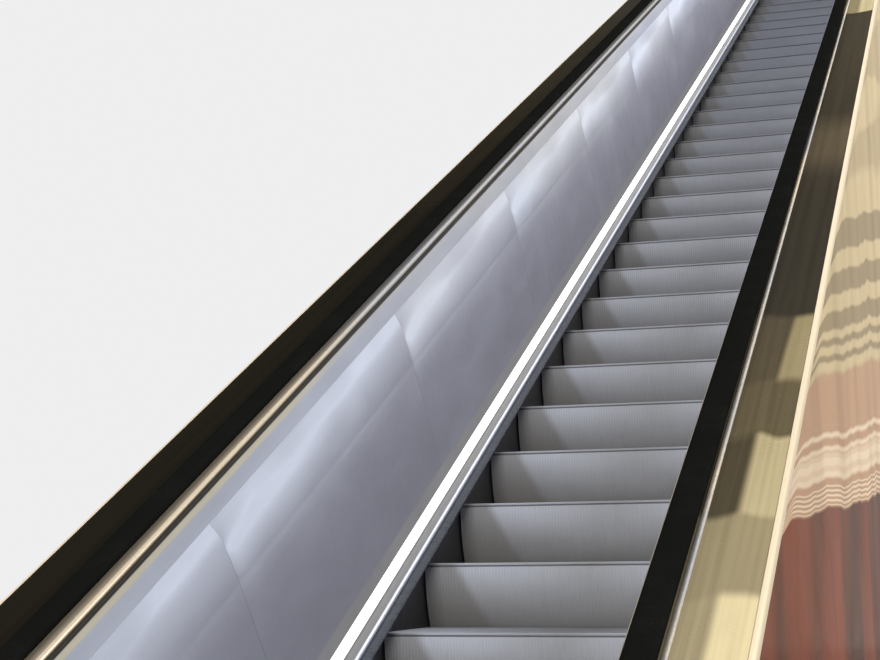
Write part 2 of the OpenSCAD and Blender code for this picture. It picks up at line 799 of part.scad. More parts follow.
steps_lower_landing();
steps_lower_flight();
steps_middle_flight();
steps_upper_flight();
steps_upper_landing();
step_tracks();
floor_plates_lower();
floor_plates_upper();
comb_plate_lower();
comb_plate_upper();
combs_lower();
combs_upper();
skirt_left();
skirt_right();
skirt_brush_left();
skirt_brush_right();
skirt_moulding_left();
skirt_moulding_right();
light_line_left();
light_line_right();
light_trim_left();
light_trim_right();
inner_panels_left();
inner_panels_right();
handrail_left();
handrail_right();
handrail_guide_left();
handrail_guide_right();
outer_deck_left();
outer_deck_right();
outer_cladding_left();
outer_cladding_right();
balustrade_posts_left();
balustrade_posts_right();
newel_lower_left();
newel_lower_right();
newel_upper_left();
newel_upper_right();
handrail_inlets();
truss_left();
truss_right();
truss_cross_members();
bottom_sheets();
end_beam_lower();
end_frame_upper();
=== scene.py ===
"""Escalator with closed brushed balustrades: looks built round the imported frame."""

import math
import random

import bmesh
import bpy
from bpy.props import FloatProperty, FloatVectorProperty, IntProperty, PointerProperty
from mathutils import Color, Matrix, Vector


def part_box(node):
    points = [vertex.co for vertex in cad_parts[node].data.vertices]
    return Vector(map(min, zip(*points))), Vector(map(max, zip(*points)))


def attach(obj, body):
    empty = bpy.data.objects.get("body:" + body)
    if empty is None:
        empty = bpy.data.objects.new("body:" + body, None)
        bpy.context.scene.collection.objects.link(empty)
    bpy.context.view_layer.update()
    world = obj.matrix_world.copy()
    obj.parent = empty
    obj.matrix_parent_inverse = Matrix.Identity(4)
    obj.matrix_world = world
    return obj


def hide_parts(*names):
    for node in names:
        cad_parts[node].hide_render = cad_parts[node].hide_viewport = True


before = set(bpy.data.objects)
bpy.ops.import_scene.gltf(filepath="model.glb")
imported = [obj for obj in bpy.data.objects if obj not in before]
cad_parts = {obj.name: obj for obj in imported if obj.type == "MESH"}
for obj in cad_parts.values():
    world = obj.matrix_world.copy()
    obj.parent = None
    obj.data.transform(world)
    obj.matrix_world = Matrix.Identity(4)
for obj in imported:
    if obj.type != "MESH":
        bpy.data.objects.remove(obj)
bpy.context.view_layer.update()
BODY = "root"
SIDES = {"left": -1, "right": 1}

bl_info = {
    "name": "Escalator",
    "version": (1, 0, 0),
    "blender": (4, 5, 0),
    "location": "View3D > Sidebar > Escalator",
    "description": "Builds the steps, handrails, panels and trim of an escalator",
    "category": "Object",
}


# Sizes and colours

def metres(name, description, default):
    return FloatProperty(name=name, description=description, default=default, unit="LENGTH",
                         min=0.0, precision=4)


def tint(name, description, default):
    return FloatVectorProperty(name=name, description=description, default=default,
                               subtype="COLOR", size=3, min=0.0, max=1.0)


class EscalatorRoute(bpy.types.PropertyGroup):
    """The line that the step nosings follow"""
    incline: FloatProperty(name="Incline", description="Angle of the incline",
                           default=math.radians(27.3), subtype="ANGLE", unit="ROTATION")
    rise: metres("Rise", "Height between the two walking levels", 7.5)
    lower_level: metres("Lower level", "Length of level steps at the lower landing", 1.0)
    lower_radius: metres("Lower radius", "Radius of the lower bend at the nosings", 2.0)
    upper_level: metres("Upper level", "Length of level steps at the upper landing", 1.45)
    upper_radius: metres("Upper radius", "Radius of the upper bend at the nosings", 2.6)
    comb_y: metres("Lower comb", "Distance from the lower bearing to the comb line", 2.0)
    tread_height: metres("Tread height", "Height of the level treads above the ground", 0.044)
    floor_step: metres("Floor step", "Height of the floor plates above the level treads", 0.02)
    newel_reach: metres("Newel reach", "Comb line to the newel's centre", 0.45)
    newel_base: metres("Newel base", "Newel's centre back to its base", 0.12)


class EscalatorSteps(bpy.types.PropertyGroup):
    """One step and how the steps follow each other"""
    width: metres("Width", "Width of a step", 1.0)
    pitch: metres("Pitch", "Distance from one step to the next along the band", 0.405)
    first: FloatProperty(name="First step", description="First nosing, from the comb line",
                         default=-0.215, unit="LENGTH")
    depth: metres("Tread depth", "Depth of a tread", 0.4)
    riser_height: metres("Riser height", "Height of the curved riser", 0.212)
    cleats: IntProperty(name="Cleats", description="Cleats across a step", default=111, min=20)
    cleat_width: metres("Cleat width", "Width of one cleat", 0.003)
    tread_groove: metres("Tread groove", "Depth of the grooves in a tread", 0.010)
    riser_groove: metres("Riser groove", "Depth of the grooves in a riser", 0.0006)


class EscalatorBalustrade(bpy.types.PropertyGroup):
    """The closed balustrade, square to the nosing line"""
    handrail_height: metres("Handrail height", "Top of the handrail", 0.856)
    handrail_width: metres("Handrail width", "Width of the handrail", 0.058)
    handrail_thickness: metres("Handrail thickness", "Thickness of the handrail", 0.020)
    handrail_offset: metres("Handrail offset", "Step edge to the handrail's middle", 0.0465)
    turn_radius: metres("Turn radius", "Radius of the handrail's turn", 0.325)
    panel_bottom: metres("Panel bottom", "Lower edge of the inner panels", 0.150)
    panel_top: metres("Panel top", "Upper edge of the inner panels", 0.700)
    panel_lean: metres("Panel lean", "Lean of the panels from bottom to top", 0.022)
    panel_thickness: metres("Panel thickness", "Thickness of a panel", 0.003)
    panel_length: metres("Panel length", "Length of a panel on the incline", 1.394)
    first_panel: metres("First panel", "Length of the first panel on the incline", 0.53)
    bead: metres("Strip radius", "Radius of the rounded strip under the handrail", 0.012)
    panel_gap: metres("Panel gap", "Gap between neighbouring panels", 0.0009)
    deck_height: metres("Deck height", "Height of the deck beside the handrail", 0.820)
    deck_edge: metres("Deck edge", "Radius of the deck's outer edge", 0.012)
    cladding_offset: metres("Cladding offset", "Step edge to the outside", 0.218)
    sheet: metres("Sheet", "Thickness of the deck and cladding sheets", 0.003)
    skirt_gap: metres("Skirt gap", "Gap between step and skirt", 0.004)
    skirt_top: metres("Skirt top", "Top of the skirt", 0.058)
    moulding: metres("Moulding", "Height of the bright moulding", 0.016)
    light: metres("Light line", "Height of the light line", 0.032)
    moulding_reach: metres("Moulding reach", "Reach of the moulding from the skirt", 0.025)
    brush_reach: metres("Brush reach", "Reach of the brush from the skirt", 0.050)
    brush_height: metres("Brush height", "Height of the brush where it is fixed", 0.008)
    tuft_pitch: metres("Tuft pitch", "Distance between bristle tufts", 0.0045)


class EscalatorColours(bpy.types.PropertyGroup):
    """Base colours of the finishes"""
    panel: tint("Inner panels", "Brushed steel of the inner panels", (0.315, 0.318, 0.375))
    # Painted highlight of the brushed panels
    panel_light: tint("Panel sheen", "Where the brushed steel shines", (0.82, 0.87, 1.0))
    # Painted warm reflection of the strip, also the colour of the panel's stains
    panel_warm: tint("Panel warmth", "Warm tint of the brushed steel", (0.82, 0.76, 0.56))
    rubber: tint("Handrail", "Rubber of the handrail", (0.0060, 0.0060, 0.0055))
    champagne: tint("Guide", "Tinted polished strip under the handrail", (0.36, 0.305, 0.225))
    # The deck's dark colour and its light patches are painted reflections
    deck: tint("Deck", "Tinted polished deck", (0.050, 0.043, 0.031))
    deck_light: tint("Deck patches", "Where the deck mirrors the light", (0.56, 0.47, 0.28))
    # Pale colour of the deck edge: a painted highlight on its rounded edge
    deck_edge: tint("Deck edge", "Pale edge of the deck", (0.54, 0.445, 0.30))
    cladding: tint("Cladding", "Tinted polished outer cladding", (0.54, 0.44, 0.26))
    cladding_plain: tint("Plain cladding", "Cladding beside the bands", (0.60, 0.53, 0.40))
    # Bands, blush, lines, foot and folds of the cladding are painted reflections
    cladding_dark: tint("Cladding bands", "Darker bands of the cladding", (0.17, 0.13, 0.08))
    cladding_blush: tint("Cladding blush", "Warm part below the bands", (0.42, 0.255, 0.165))
    cladding_line: tint("Cladding lines", "Pale lines of the cladding", (0.74, 0.61, 0.44))
    cladding_low: tint("Cladding foot", "Dark lower part of the cladding", (0.080, 0.042, 0.033))
    cladding_warm: tint("Cladding folds", "Warm folds of the lower part", (0.215, 0.070, 0.047))
    aluminium: tint("Steps", "Die-cast aluminium of the steps", (0.41, 0.408, 0.41))
    # Painted sheen on the near risers
    aluminium_sheen: tint("Step sheen", "Where a riser shines", (0.82, 0.86, 0.98))
    # Painted shade on the upper steps
    aluminium_cool: tint("Upper steps", "Cooler grey of the upper steps", (0.225, 0.24, 0.29))
    # Painted shadow in a riser's corner and painted shade at its foot
    aluminium_warm: tint("Step corners", "Worn corners and foot of a riser", (0.21, 0.195, 0.17))
    skirt: tint("Skirt", "Dark skirt panels", (0.022, 0.022, 0.026))
    brush: tint("Brush", "Bristles of the skirt brush", (0.058, 0.066, 0.085))
    # The moulding's bright colour is partly a painted highlight on its rounded edge
    moulding: tint("Moulding", "Bright rounded moulding", (0.66, 0.68, 0.78))
    trim: tint("Trim", "Grey strips beside the light line", (0.38, 0.37, 0.37))
    light: tint("Light", "Lit diffuser", (1.0, 1.0, 1.0))
    truss: tint("Truss", "Painted truss", (0.10, 0.105, 0.115))
    floor_plate: tint("Floor plates", "Ribbed floor plates", (0.33, 0.33, 0.34))
    backdrop: tint("Backdrop", "Pale floor and background", (0.86, 0.86, 0.87))


GROUPS = {
    "escalator_route": EscalatorRoute,
    "escalator_steps": EscalatorSteps,
    "escalator_balustrade": EscalatorBalustrade,
    "escalator_colours": EscalatorColours,
}


# The route of the nosings

class Route:
    """Frames along the nosing line: a point and the direction square to the line"""
    bend = math.radians(2.6)
    turn_frames = 28
    shortest_panel = 0.3

    def __init__(self, scene):
        r, b = scene.escalator_route, scene.escalator_balustrade
        self.a = r.incline
        si, ci = math.sin(self.a), math.cos(self.a)
        self.z0, self.z1 = r.tread_height, r.tread_height + r.rise
        self.r1, self.r2 = r.lower_radius, r.upper_radius
        self.comb_y = r.comb_y
        self.bend_y = r.comb_y + r.lower_level
        self.slope_y = self.bend_y + self.r1 * si
        self.slope_z = self.z0 + self.r1 * (1 - ci)
        self.slope = (r.rise - (self.r1 + self.r2) * (1 - ci)) / si
        self.level_y = self.slope_y + self.slope * ci + self.r2 * si
        self.s1 = r.lower_level
        self.s2 = self.s1 + self.r1 * self.a
        self.s3 = self.s2 + self.slope
        self.s4 = self.s3 + self.r2 * self.a
        self.s5 = self.s4 + r.upper_level
        self.base = (-r.newel_reach + r.newel_base, self.s5 + r.newel_reach - r.newel_base)
        self.newel = (-r.newel_reach, self.s5 + r.newel_reach)
        self.turn_n = b.handrail_height - b.turn_radius
        self.turn_r = b.turn_radius
        self.joints = [self.s2]
        mark = self.s2 + b.first_panel
        while mark < self.s3 - self.shortest_panel:
            self.joints.append(mark)
            mark += b.panel_length
        self.joints.append(self.s3)

    def heading(self, s):
        if s <= self.s1 or s >= self.s4:
            return 0.0
        if s < self.s2:
            return (s - self.s1) / self.r1
        if s <= self.s3:
            return self.a
        return (self.s4 - s) / self.r2

    def point(self, s):
        h = self.heading(s)
        if s <= self.s1:
            return self.comb_y + s, self.z0
        if s < self.s2:
            return self.bend_y + self.r1 * math.sin(h), self.z0 + self.r1 * (1 - math.cos(h))
        if s <= self.s3:
            d = s - self.s2
            return self.slope_y + d * math.cos(self.a), self.slope_z + d * math.sin(self.a)
        if s < self.s4:
            return self.level_y - self.r2 * math.sin(h), self.z1 - self.r2 * (1 - math.cos(h))
        return self.level_y + s - self.s4, self.z1

    def at(self, s):
        """Frame at a distance from the lower comb: y, z, and the normal's y and z"""
        h = self.heading(s)
        return (*self.point(s), -math.sin(h), math.cos(h), s)

    def run(self, s0, s1):
        """Frames from s0 to s1, closer together on the bends"""
        marks = {s0, s1}
        for a, b, r in ((self.s1, self.s2, self.r1), (self.s3, self.s4, self.r2)):
            n = max(1, math.ceil(self.a / self.bend))
            marks.update(a + (b - a) * i / n for i in range(n + 1))
        return [self.at(s) for s in sorted(m for m in marks if s0 <= m <= s1)]

    def turn(self, end):
        """Frames round a newel, from the handrail's top outward and down"""
        s = self.newel[end]
        y, z = self.point(s)
        sign = (-1, 1)[end]
        frames = []
        for i in range(1, self.turn_frames + 1):
            t = math.pi * i / self.turn_frames
            ny, nz = sign * math.sin(t), math.cos(t)
            frames.append((y - self.turn_n * ny, z + self.turn_n - self.turn_n * nz, ny, nz,
                           s + sign * t * self.turn_r))
        return frames

    def whole(self):
        """Frames of a member that turns round both newels"""
        return self.turn(0)[::-1] + self.run(*self.newel) + self.turn(1)


class Section:
    """Places across the balustrade, from the middle of the steps outward"""
    behind_skirt, behind_moulding, behind_lens, behind_panel = 0.004, 0.0015, 0.0045, 0.007
    above_moulding, lens_lean, beside_bead, above_bead = 0.002, 0.42, 0.0018, 0.008

    def __init__(self, scene):
        s, b = scene.escalator_steps, scene.escalator_balustrade
        self.half = s.width / 2
        self.skirt_in = self.half + b.skirt_gap
        self.skirt_top = b.skirt_top
        self.rail_x = self.half + b.handrail_offset
        self.out = self.half + b.cladding_offset
        self.moulding_r = b.moulding / 2
        self.moulding_x = self.skirt_in + self.behind_skirt
        self.nose_x = self.skirt_in - b.moulding_reach + self.moulding_r
        self.nose_z = b.skirt_top + self.moulding_r / 2
        self.light_low = b.skirt_top + b.moulding + self.above_moulding
        self.light_high = self.light_low + b.light
        self.light_x = self.moulding_x + self.behind_moulding
        self.slant = b.light * self.lens_lean
        self.panel_in = self.light_x + self.slant + self.behind_lens
        self.low, self.high = b.panel_bottom, b.panel_top
        self.lean = b.panel_lean
        self.thick = b.panel_thickness
        self.lip = b.handrail_height - b.handrail_thickness
        self.bead_x = self.rail_x - b.handrail_width / 2 - self.beside_bead
        self.bead_z = self.lip - self.above_bead - b.bead
        self.cap_top = self.bead_z - b.bead
        self.guide_back = self.panel(self.cap_top) + self.thick + self.behind_panel

    def panel(self, n):
        """Face of the leaning panel at a height square to the nosings"""
        return self.panel_in + self.lean * (n - self.low) / (self.high - self.low)


# Mesh building

class Shape:
    """A mesh in the making, with each point's distance along and square to the route"""

    def __init__(self):
        self.verts, self.faces = [], []
        self.along, self.up, self.bay, self.share = [], [], [], []

    def point(self, x, y, z, *values):
        """Add a point with its along, up, bay and share"""
        self.verts.append((x, y, z))
        for held, value in zip((self.along, self.up, self.bay, self.share), (*values, 0.0)):
            held.append(value)
        return len(self.verts) - 1

    def sweep(self, section, frames, side, bay=0.0):
        """Carry a closed section of x and n along the frames"""
        k = len(section)
        first = len(self.verts)
        start, length = frames[0][4], max(1e-6, frames[-1][4] - frames[0][4])
        for y, z, ny, nz, s in frames:
            for x, n in section:
                self.point(side * x, y + n * ny, z + n * nz, s, n, bay, (s - start) / length)
        for i in range(len(frames) - 1):
            a, b = first + i * k, first + (i + 1) * k
            self.faces += [(a + j, a + (j + 1) % k, b + (j + 1) % k, b + j)[::-side]
                           for j in range(k)]
        last = first + (len(frames) - 1) * k
        self.faces += [tuple(range(first, first + k))[::side],
                       tuple(range(last, last + k))[::-side]]

    def prism(self, outline, x0, x1, origin=(0.0, 0.0), bay=0.0):
        """A closed outline in y and z, carried across from x0 to x1"""
        k = len(outline)
        first = len(self.verts)
        for x in (x0, x1):
            for y, z in outline:
                self.point(x, origin[0] + y, origin[1] + z, origin[0] + y, origin[1] + z, bay)
        for j in range(k):
            n = (j + 1) % k
            self.faces.append((first + j, first + n, first + k + n, first + k + j))
        self.faces += [tuple(range(first, first + k))[::-1],
                       tuple(range(first + k, first + 2 * k))]

    def bar(self, low, high, bay=0.0):
        """A plain block between two corners, with no face doubled"""
        (x0, y0, z0), (x1, y1, z1) = low, high
        self.prism([(y0, z0), (y1, z0), (y1, z1), (y0, z1)], x0, x1, bay=bay)

    def build(self, name, finish, nodes=(), sharp=30.0, slot=None):
        """Make the piece, with edges sharper than an angle in degrees left sharp"""
        slot = slot or finish
        mesh = bpy.data.meshes.new(name)
        mesh.from_pydata(self.verts, [], self.faces)
        for key in ("along", "up", "bay", "share"):
            layer = mesh.attributes.new(key, "FLOAT", "POINT")
            layer.data.foreach_set("value", getattr(self, key))
        mesh.materials.append(material(finish))
        mesh.update()
        fix = bpy.data.objects.new(name, mesh)
        bpy.context.scene.collection.objects.link(fix)
        outward(mesh)
        mesh.polygons.foreach_set("use_smooth", [True] * len(mesh.polygons))
        mesh.set_sharp_from_angle(angle=math.radians(sharp))
        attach(fix, BODY)
        if nodes:
            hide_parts(*nodes)


def swept(section, frames, side, *piece):
    """A piece that is one section carried along the frames"""
    shape = Shape()
    shape.sweep(section, frames, SIDES[side])
    shape.build(*piece)


def outward(mesh):
    """Turn all faces outward"""
    work = bmesh.new()
    work.from_mesh(mesh)
    bmesh.ops.recalc_face_normals(work, faces=work.faces)
    work.to_mesh(mesh)
    work.free()


def arc(cx, cn, r, start, end, count):
    """Points round an arc, in degrees"""
    return [(cx + r * math.cos(math.radians(start + (end - start) * i / count)),
             cn + r * math.sin(math.radians(start + (end - start) * i / count)))
            for i in range(count + 1)]


# Shader node groups

def joined(operation, swapped=False):
    """A method that joins two values by a math node"""
    def method(self, other):
        return self.wires.math(operation, *((other, self) if swapped else (self, other)))
    return method


class Value:
    """A socket that takes part in sums and products"""
    __add__, __mul__ = joined("ADD"), joined("MULTIPLY")
    __sub__, __rsub__ = joined("SUBTRACT"), joined("SUBTRACT", swapped=True)
    __truediv__, __mod__ = joined("DIVIDE"), joined("FLOORED_MODULO")

    def __init__(self, wires, socket):
        self.wires, self.socket = wires, socket


class Wires:
    """Short calls that add nodes to a tree and join them"""

    def __init__(self, tree):
        self.tree = tree

    def node(self, kind, links=None, **settings):
        """Add a node, with values for its sockets in links"""
        made = self.tree.nodes.new(kind)
        for key, value in settings.items():
            setattr(made, key, value)
        for key, value in (links or {}).items():
            self.feed(made, key, value)
        return made

    def feed(self, made, key, value):
        if isinstance(value, Value):
            self.tree.links.new(value.socket, made.inputs[key])
        elif isinstance(value, Color):
            made.inputs[key].default_value = rgba(value)
        else:
            made.inputs[key].default_value = value

    def outputs(self, made):
        """A node's output values by name"""
        return {socket.name: Value(self, socket) for socket in made.outputs}

    def math(self, operation, *values, clamp=False):
        made = self.node("ShaderNodeMath", dict(enumerate(values)), operation=operation,
                         use_clamp=clamp)
        return Value(self, made.outputs[0])

    def maximum(self, a, b):
        return self.math("MAXIMUM", a, b)

    def minimum(self, a, b):
        return self.math("MINIMUM", a, b)

    def mix(self, factor, a, b):
        made = self.node("ShaderNodeMix", data_type="RGBA")
        for key, value in ((0, factor), (6, a), (7, b)):
            self.feed(made, key, value)
        return Value(self, made.outputs[2])

    def coats(self, base, *coats):
        """A colour with others over it, each in its own mask"""
        for mask, colour in coats:
            base = self.mix(mask, base, colour)
        return base

    def noise(self, place, scale=1.0, detail=2.0, rough=0.5, distortion=0.0):
        """Noise at a point, which may be given as three values"""
        if isinstance(place, tuple):
            made = self.node("ShaderNodeCombineXYZ", dict(enumerate(place)))
            place = Value(self, made.outputs[0])
        made = self.node("ShaderNodeTexNoise", {"Vector": place, "Scale": scale, "Detail": detail,
                                                "Roughness": rough, "Distortion": distortion})
        return Value(self, made.outputs["Fac"])

    def ramp(self, value, low, high):
        """Nought at the low mark and one at the high mark, with soft ends"""
        made = self.node("ShaderNodeMapRange", {"Value": value, "From Min": low, "From Max": high},
                         interpolation_type="SMOOTHSTEP")
        return Value(self, made.outputs[0])

    def box(self, value, low, high, soft):
        """One between two marks and nought outside them, with soft ends"""
        rise = self.ramp(value, low - soft, low + soft)
        return rise * self.ramp(value, high + soft, high - soft)

    def group(self, name, **values):
        """Outputs of a shared node group, by name"""
        tree = bpy.data.node_groups[name]
        return self.outputs(self.node("ShaderNodeGroup", values, node_tree=tree))


class Group(Wires):
    """A shared node group in the making, with its inputs as values"""

    def __init__(self, name, outputs, **inputs):
        super().__init__(bpy.data.node_groups.new(name, "ShaderNodeTree"))
        face, number = self.tree.interface, "NodeSocketFloat"
        for label, default in inputs.items():
            kind = "NodeSocketVector" if default is None else number
            socket = face.new_socket(name=label, in_out="INPUT", socket_type=kind)
            if default is not None:
                socket.default_value = default
        for label in outputs:
            face.new_socket(name=label, in_out="OUTPUT", socket_type=number)
        given = self.outputs(self.node("NodeGroupInput"))
        self.given = [given[label] for label in inputs]
        self.result = self.node("NodeGroupOutput")

    def give(self, **outputs):
        for label, value in outputs.items():
            self.feed(self.result, label, value)


def total(values):
    """Sum of several values"""
    first, *others = values
    for value in others:
        first = first + value
    return first


def brushing_group():
    """Fine scratches along one direction, as a height and a shade"""
    g = Group("fine_brushing", ("Height", "Shade"), Along=0.0, Across=0.0, Bay=0.0, Fineness=900.0)
    along, across, bay, fineness = g.given
    along, across = along * 7.0, across * fineness
    fine = g.noise((along, across, bay * 13.7), 1.0, 3.0, 0.65)
    broad = g.noise((along * 0.3, across * 0.12, bay))
    g.give(Height=fine, Shade=fine * 0.5 + broad * 0.5)


def waviness_group():
    """Soft dents of a thin rolled sheet, as a height"""
    g = Group("sheet_waviness", ("Height",), Along=0.0, Across=0.0, Bay=0.0, Size=3.0)
    along, across, bay, size = g.given
    place = (along, across * 1.6, bay * 4.3)
    broad, small = g.noise(place, size, 1.0, 0.4, 0.3), g.noise(place, size * 4.1, 1.0, 0.4, 0.2)
    g.give(Height=broad + small * 0.22)


def streak_group():
    """The painted highlight of a panel: a soft streak of reflected light that starts at a seam and
    dies away up the panel, with painted light under the strip, a painted warm reflection of the
    strip, and stains
    """
    g = Group("panel_streaks", ("Shine", "Warmth"), Along=0.0, Across=0.0, Bay=0.0, Share=0.5)
    along, across, bay, share = g.given
    chance = g.noise((bay * 3.7, 0.5, 0.5), 1.0, 0.0) - 0.5
    sway = g.noise((along * 2.1, across * 0.8, bay), 1.0, 1.0, 0.4) - 0.5
    seam, rise, lift = 0.603, 0.030, 0.066
    crest = (g.ramp(share, -0.03, 0.16) * rise + seam + g.ramp(share, 0.55, 1.05) * lift
             + chance * 0.03 + sway * 0.05)
    off = across - crest
    reach_up, reach_down, sharpness = 0.038, 0.062, 2.6
    above = g.maximum(off, 0.0) / reach_up
    below = g.maximum(off * -1.0, 0.0) / (share * 0.03 + reach_down)
    # Painted highlight: a peaked ridge round the crest, fading above and below
    ridge = g.math("POWER", g.maximum(1.0 - (above + below) * 0.30, 0.0), sharpness)
    least, at_start, at_end = 0.26, 1.05, 0.70
    start = g.ramp(share, -0.05, 0.04) * g.ramp(share, 0.85, 0.10)
    finish = g.ramp(share, 0.45, 0.92) * at_end
    strength = start * at_start + least + finish + chance * 0.3
    cloud = g.ramp(g.noise((along * 1.3, across * 2.4, bay * 1.7), 1.6, 1.0, 0.45), 0.45, 0.75)
    # Painted light over the top of the panel and the cap, under the strip
    top_strip = g.ramp(across, 0.625, 0.705)
    stain = g.ramp(g.noise((along * 0.45, across, 3.0)), 0.46, 0.66)
    # Painted warm reflection of the strip: a pale band on the cap below it
    top_edge = g.ramp(across, 0.742, 0.748) * (g.ramp(along, 5.0, 4.3) * 0.75 + 0.25)
    g.give(Shine=g.minimum(strength * ridge + top_strip * 0.60 + cloud * 0.08, 1.0),
           Warmth=g.maximum(top_edge * 0.90, stain * 0.30 * g.ramp(across, 0.40, 0.80)))


def patch_group():
    """Painted reflections on a polished deck: soft-edged light blocks, and one slim light patch"""
    g = Group("deck_patches", ("Blocks", "Slim"), Along=0.0, Across=0.6, Length=6.4)
    along, across, length = g.given
    wobble = g.noise((along * 1.5, across * 9.0, 2.0), 1.0, 1.0, 0.4) - 0.5
    first = 2.7
    s = (along - first + wobble * 0.16) % length
    outer = g.ramp(across, 0.628, 0.650)
    far = g.ramp(across - s * 0.03, 0.595, 0.612)
    # Start, end, softness and strength of each block
    blocks = ((0.06, 0.63, 0.02, outer * 0.50 + 0.45), (0.63, 0.91, 0.02, 0.38),
              (0.91, 1.29, 0.02, outer * 0.58 + 0.05), (1.29, 1.60, 0.03, 0.12),
              (1.60, 2.02, 0.03, far * 0.32 + 0.08), (3.5, 4.1, 0.2, 0.10))
    slim_start, slim_end = 0.72, 1.30
    slope = across + (s - slim_start) * 0.05
    g.give(Blocks=total([g.box(s, low, high, soft) * tone for low, high, soft, tone in blocks]),
           Slim=g.box(s, slim_start, slim_end, 0.03) * g.ramp(slope, 0.606, 0.601))


def band_group():
    """Painted reflections on polished cladding: level rippled bands, broad and fine, and the warm
    part below them
    """
    g = Group("cladding_bands", ("Broad", "Fine", "Blush", "Below"), Along=0.0, Height=0.0)
    along, height = g.given
    ripple = g.noise((along * 1.9, height * 0.7, 0.0), 1.0, 2.0, 0.45) - 0.5
    # The painted reflection bands spread from a point ahead of the lower end, and bend up under
    # the deck
    origin, fall, spread = 5.0, 0.5275, 0.33
    ahead = g.maximum(along - origin, -1.5)
    fan = (height + ahead * fall) / (ahead * spread + 1.0)
    cos, sin, lower_end = 0.8886, 0.4586, 1.5595
    square = height * cos + along * -sin + lower_end
    level = fan + ripple * 0.032 + g.ramp(square, 0.74, 0.815) * 0.028
    close_pitch, wide_pitch = 0.0088, 0.024
    close = g.box(level % close_pitch, 0.0012, 0.0050, 0.0014)
    wide = g.box(level % wide_pitch, 0.004, 0.013, 0.004)
    lines = ((1.754, 1.790, 0.002, close), (1.812, 1.850, 0.004, 0.75),
             (1.790, 1.897, 0.003, wide))
    bands = ((2.012, 2.024), (2.040, 2.053), (2.068, 2.101), (2.131, 2.171), (2.206, 2.259))
    rows = g.noise((level * 9.0, along * 0.25, 7.0), 1.0, 1.0)
    more = g.ramp(rows, 0.46, 0.56) * g.ramp(level, 2.31, 2.35)
    g.give(Broad=total([g.box(level, low, high, 0.004) for low, high in bands]) + more * 0.5,
           Fine=total([g.box(level, low, high, soft) * tone for low, high, soft, tone in lines]),
           Blush=g.ramp(level, 2.000, 1.985), Below=g.ramp(level, 1.756, 1.748))


def wear_group():
    """Dust and light scuffs, as a mask"""
    g = Group("dust_and_scuffs", ("Mask",), Vector=None, Scale=6.0, Amount=0.5)
    place, scale, amount = g.given
    broad = g.ramp(g.noise(place, scale, 5.0, 0.62), 0.42, 0.72)
    fine = g.ramp(g.noise(place, scale * 17.0, 3.0, 0.7), 0.35, 0.75)
    g.give(Mask=g.math("MULTIPLY", broad * fine, amount, clamp=True))


# Materials

BLACK, WHITE = (0.0, 0.0, 0.0, 1.0), (1.0, 1.0, 1.0, 1.0)


def rgba(colour, k=1.0):
    return (colour[0] * k, colour[1] * k, colour[2] * k, 1.0)


class Finish(Wires):
    """A material in the making"""

    def __init__(self, name, **sockets):
        self.material = bpy.data.materials.new(name)
        self.material.use_nodes = True
        FINISHES[name] = self.material.name
        super().__init__(self.material.node_tree)
        self.shader = self.tree.nodes["Principled BSDF"]
        self.paint(**sockets)

    def paint(self, **sockets):
        """Feed the shader's sockets, named with _ for a space"""
        for key, value in sockets.items():
            self.feed(self.shader, key.replace("_", " "), value)

    def read(self, keys):
        """The mesh's own values: along and up to the route, bay, and share of its length"""
        return [self.outputs(self.node("ShaderNodeAttribute", attribute_name=key))["Fac"]
                for key in keys.split()]

    def place(self):
        """The point on the piece, in metres"""
        return self.outputs(self.node("ShaderNodeTexCoord"))["Object"]

    def axes(self):
        """The point's x, y and z"""
        made = self.node("ShaderNodeSeparateXYZ", {"Vector": self.place()})
        return list(self.outputs(made).values())

    def wear(self, scale, amount=1.0):
        """Mask of dust and scuffs"""
        return self.group("dust_and_scuffs", Vector=self.place(), Scale=scale,
                          Amount=amount)["Mask"]

    def dents(self, **place):
        """Height of the dents of thin sheet"""
        return self.group("sheet_waviness", **place)["Height"]

    def bump(self, height, strength, distance):
        made = self.node("ShaderNodeBump", {"Height": height, "Strength": strength,
                                            "Distance": distance})
        self.paint(Normal=Value(self, made.outputs[0]))


def pale_edge(c):
    """Sheet edge painted pale as a highlight on its rounded edge, stained along its length"""
    f = Finish("deck_edge", Metallic=0.2, Specular_IOR_Level=0.1)
    along, up, bay = f.read("along up bay")
    stain = f.ramp(f.noise((along * 0.9, up * 30.0, bay)), 0.3, 0.75) * 0.25
    f.paint(Base_Color=f.mix(stain, c.deck_edge, rgba(c.deck_edge, 0.62)),
            Roughness=f.wear(5.0, 0.8) * 0.10 + 0.45)


def tinted_guide(c):
    """Rounded polished strip with a painted reflection: pale on its upper half, dark brown
    underneath, and greyer further up the incline
    """
    f = Finish("guide_steel", Metallic=0.4, Specular_IOR_Level=0.0)
    along, up = f.read("along up")
    grain = f.noise((along * 1.4, up * 90.0, 3.0))
    far = f.mix(f.ramp(along, 4.3, 5.2), c.champagne, rgba(c.trim, 0.7))
    # Painted reflection: pale champagne on the upper half, dark brown underneath
    upper = f.ramp(up + (grain - 0.5) * 0.006, 0.8175, 0.8235)
    f.paint(Base_Color=f.mix(upper, rgba(c.champagne, 0.17), far), Roughness=grain * 0.10 + 0.26)
    f.bump(grain, 0.3, 0.0004)


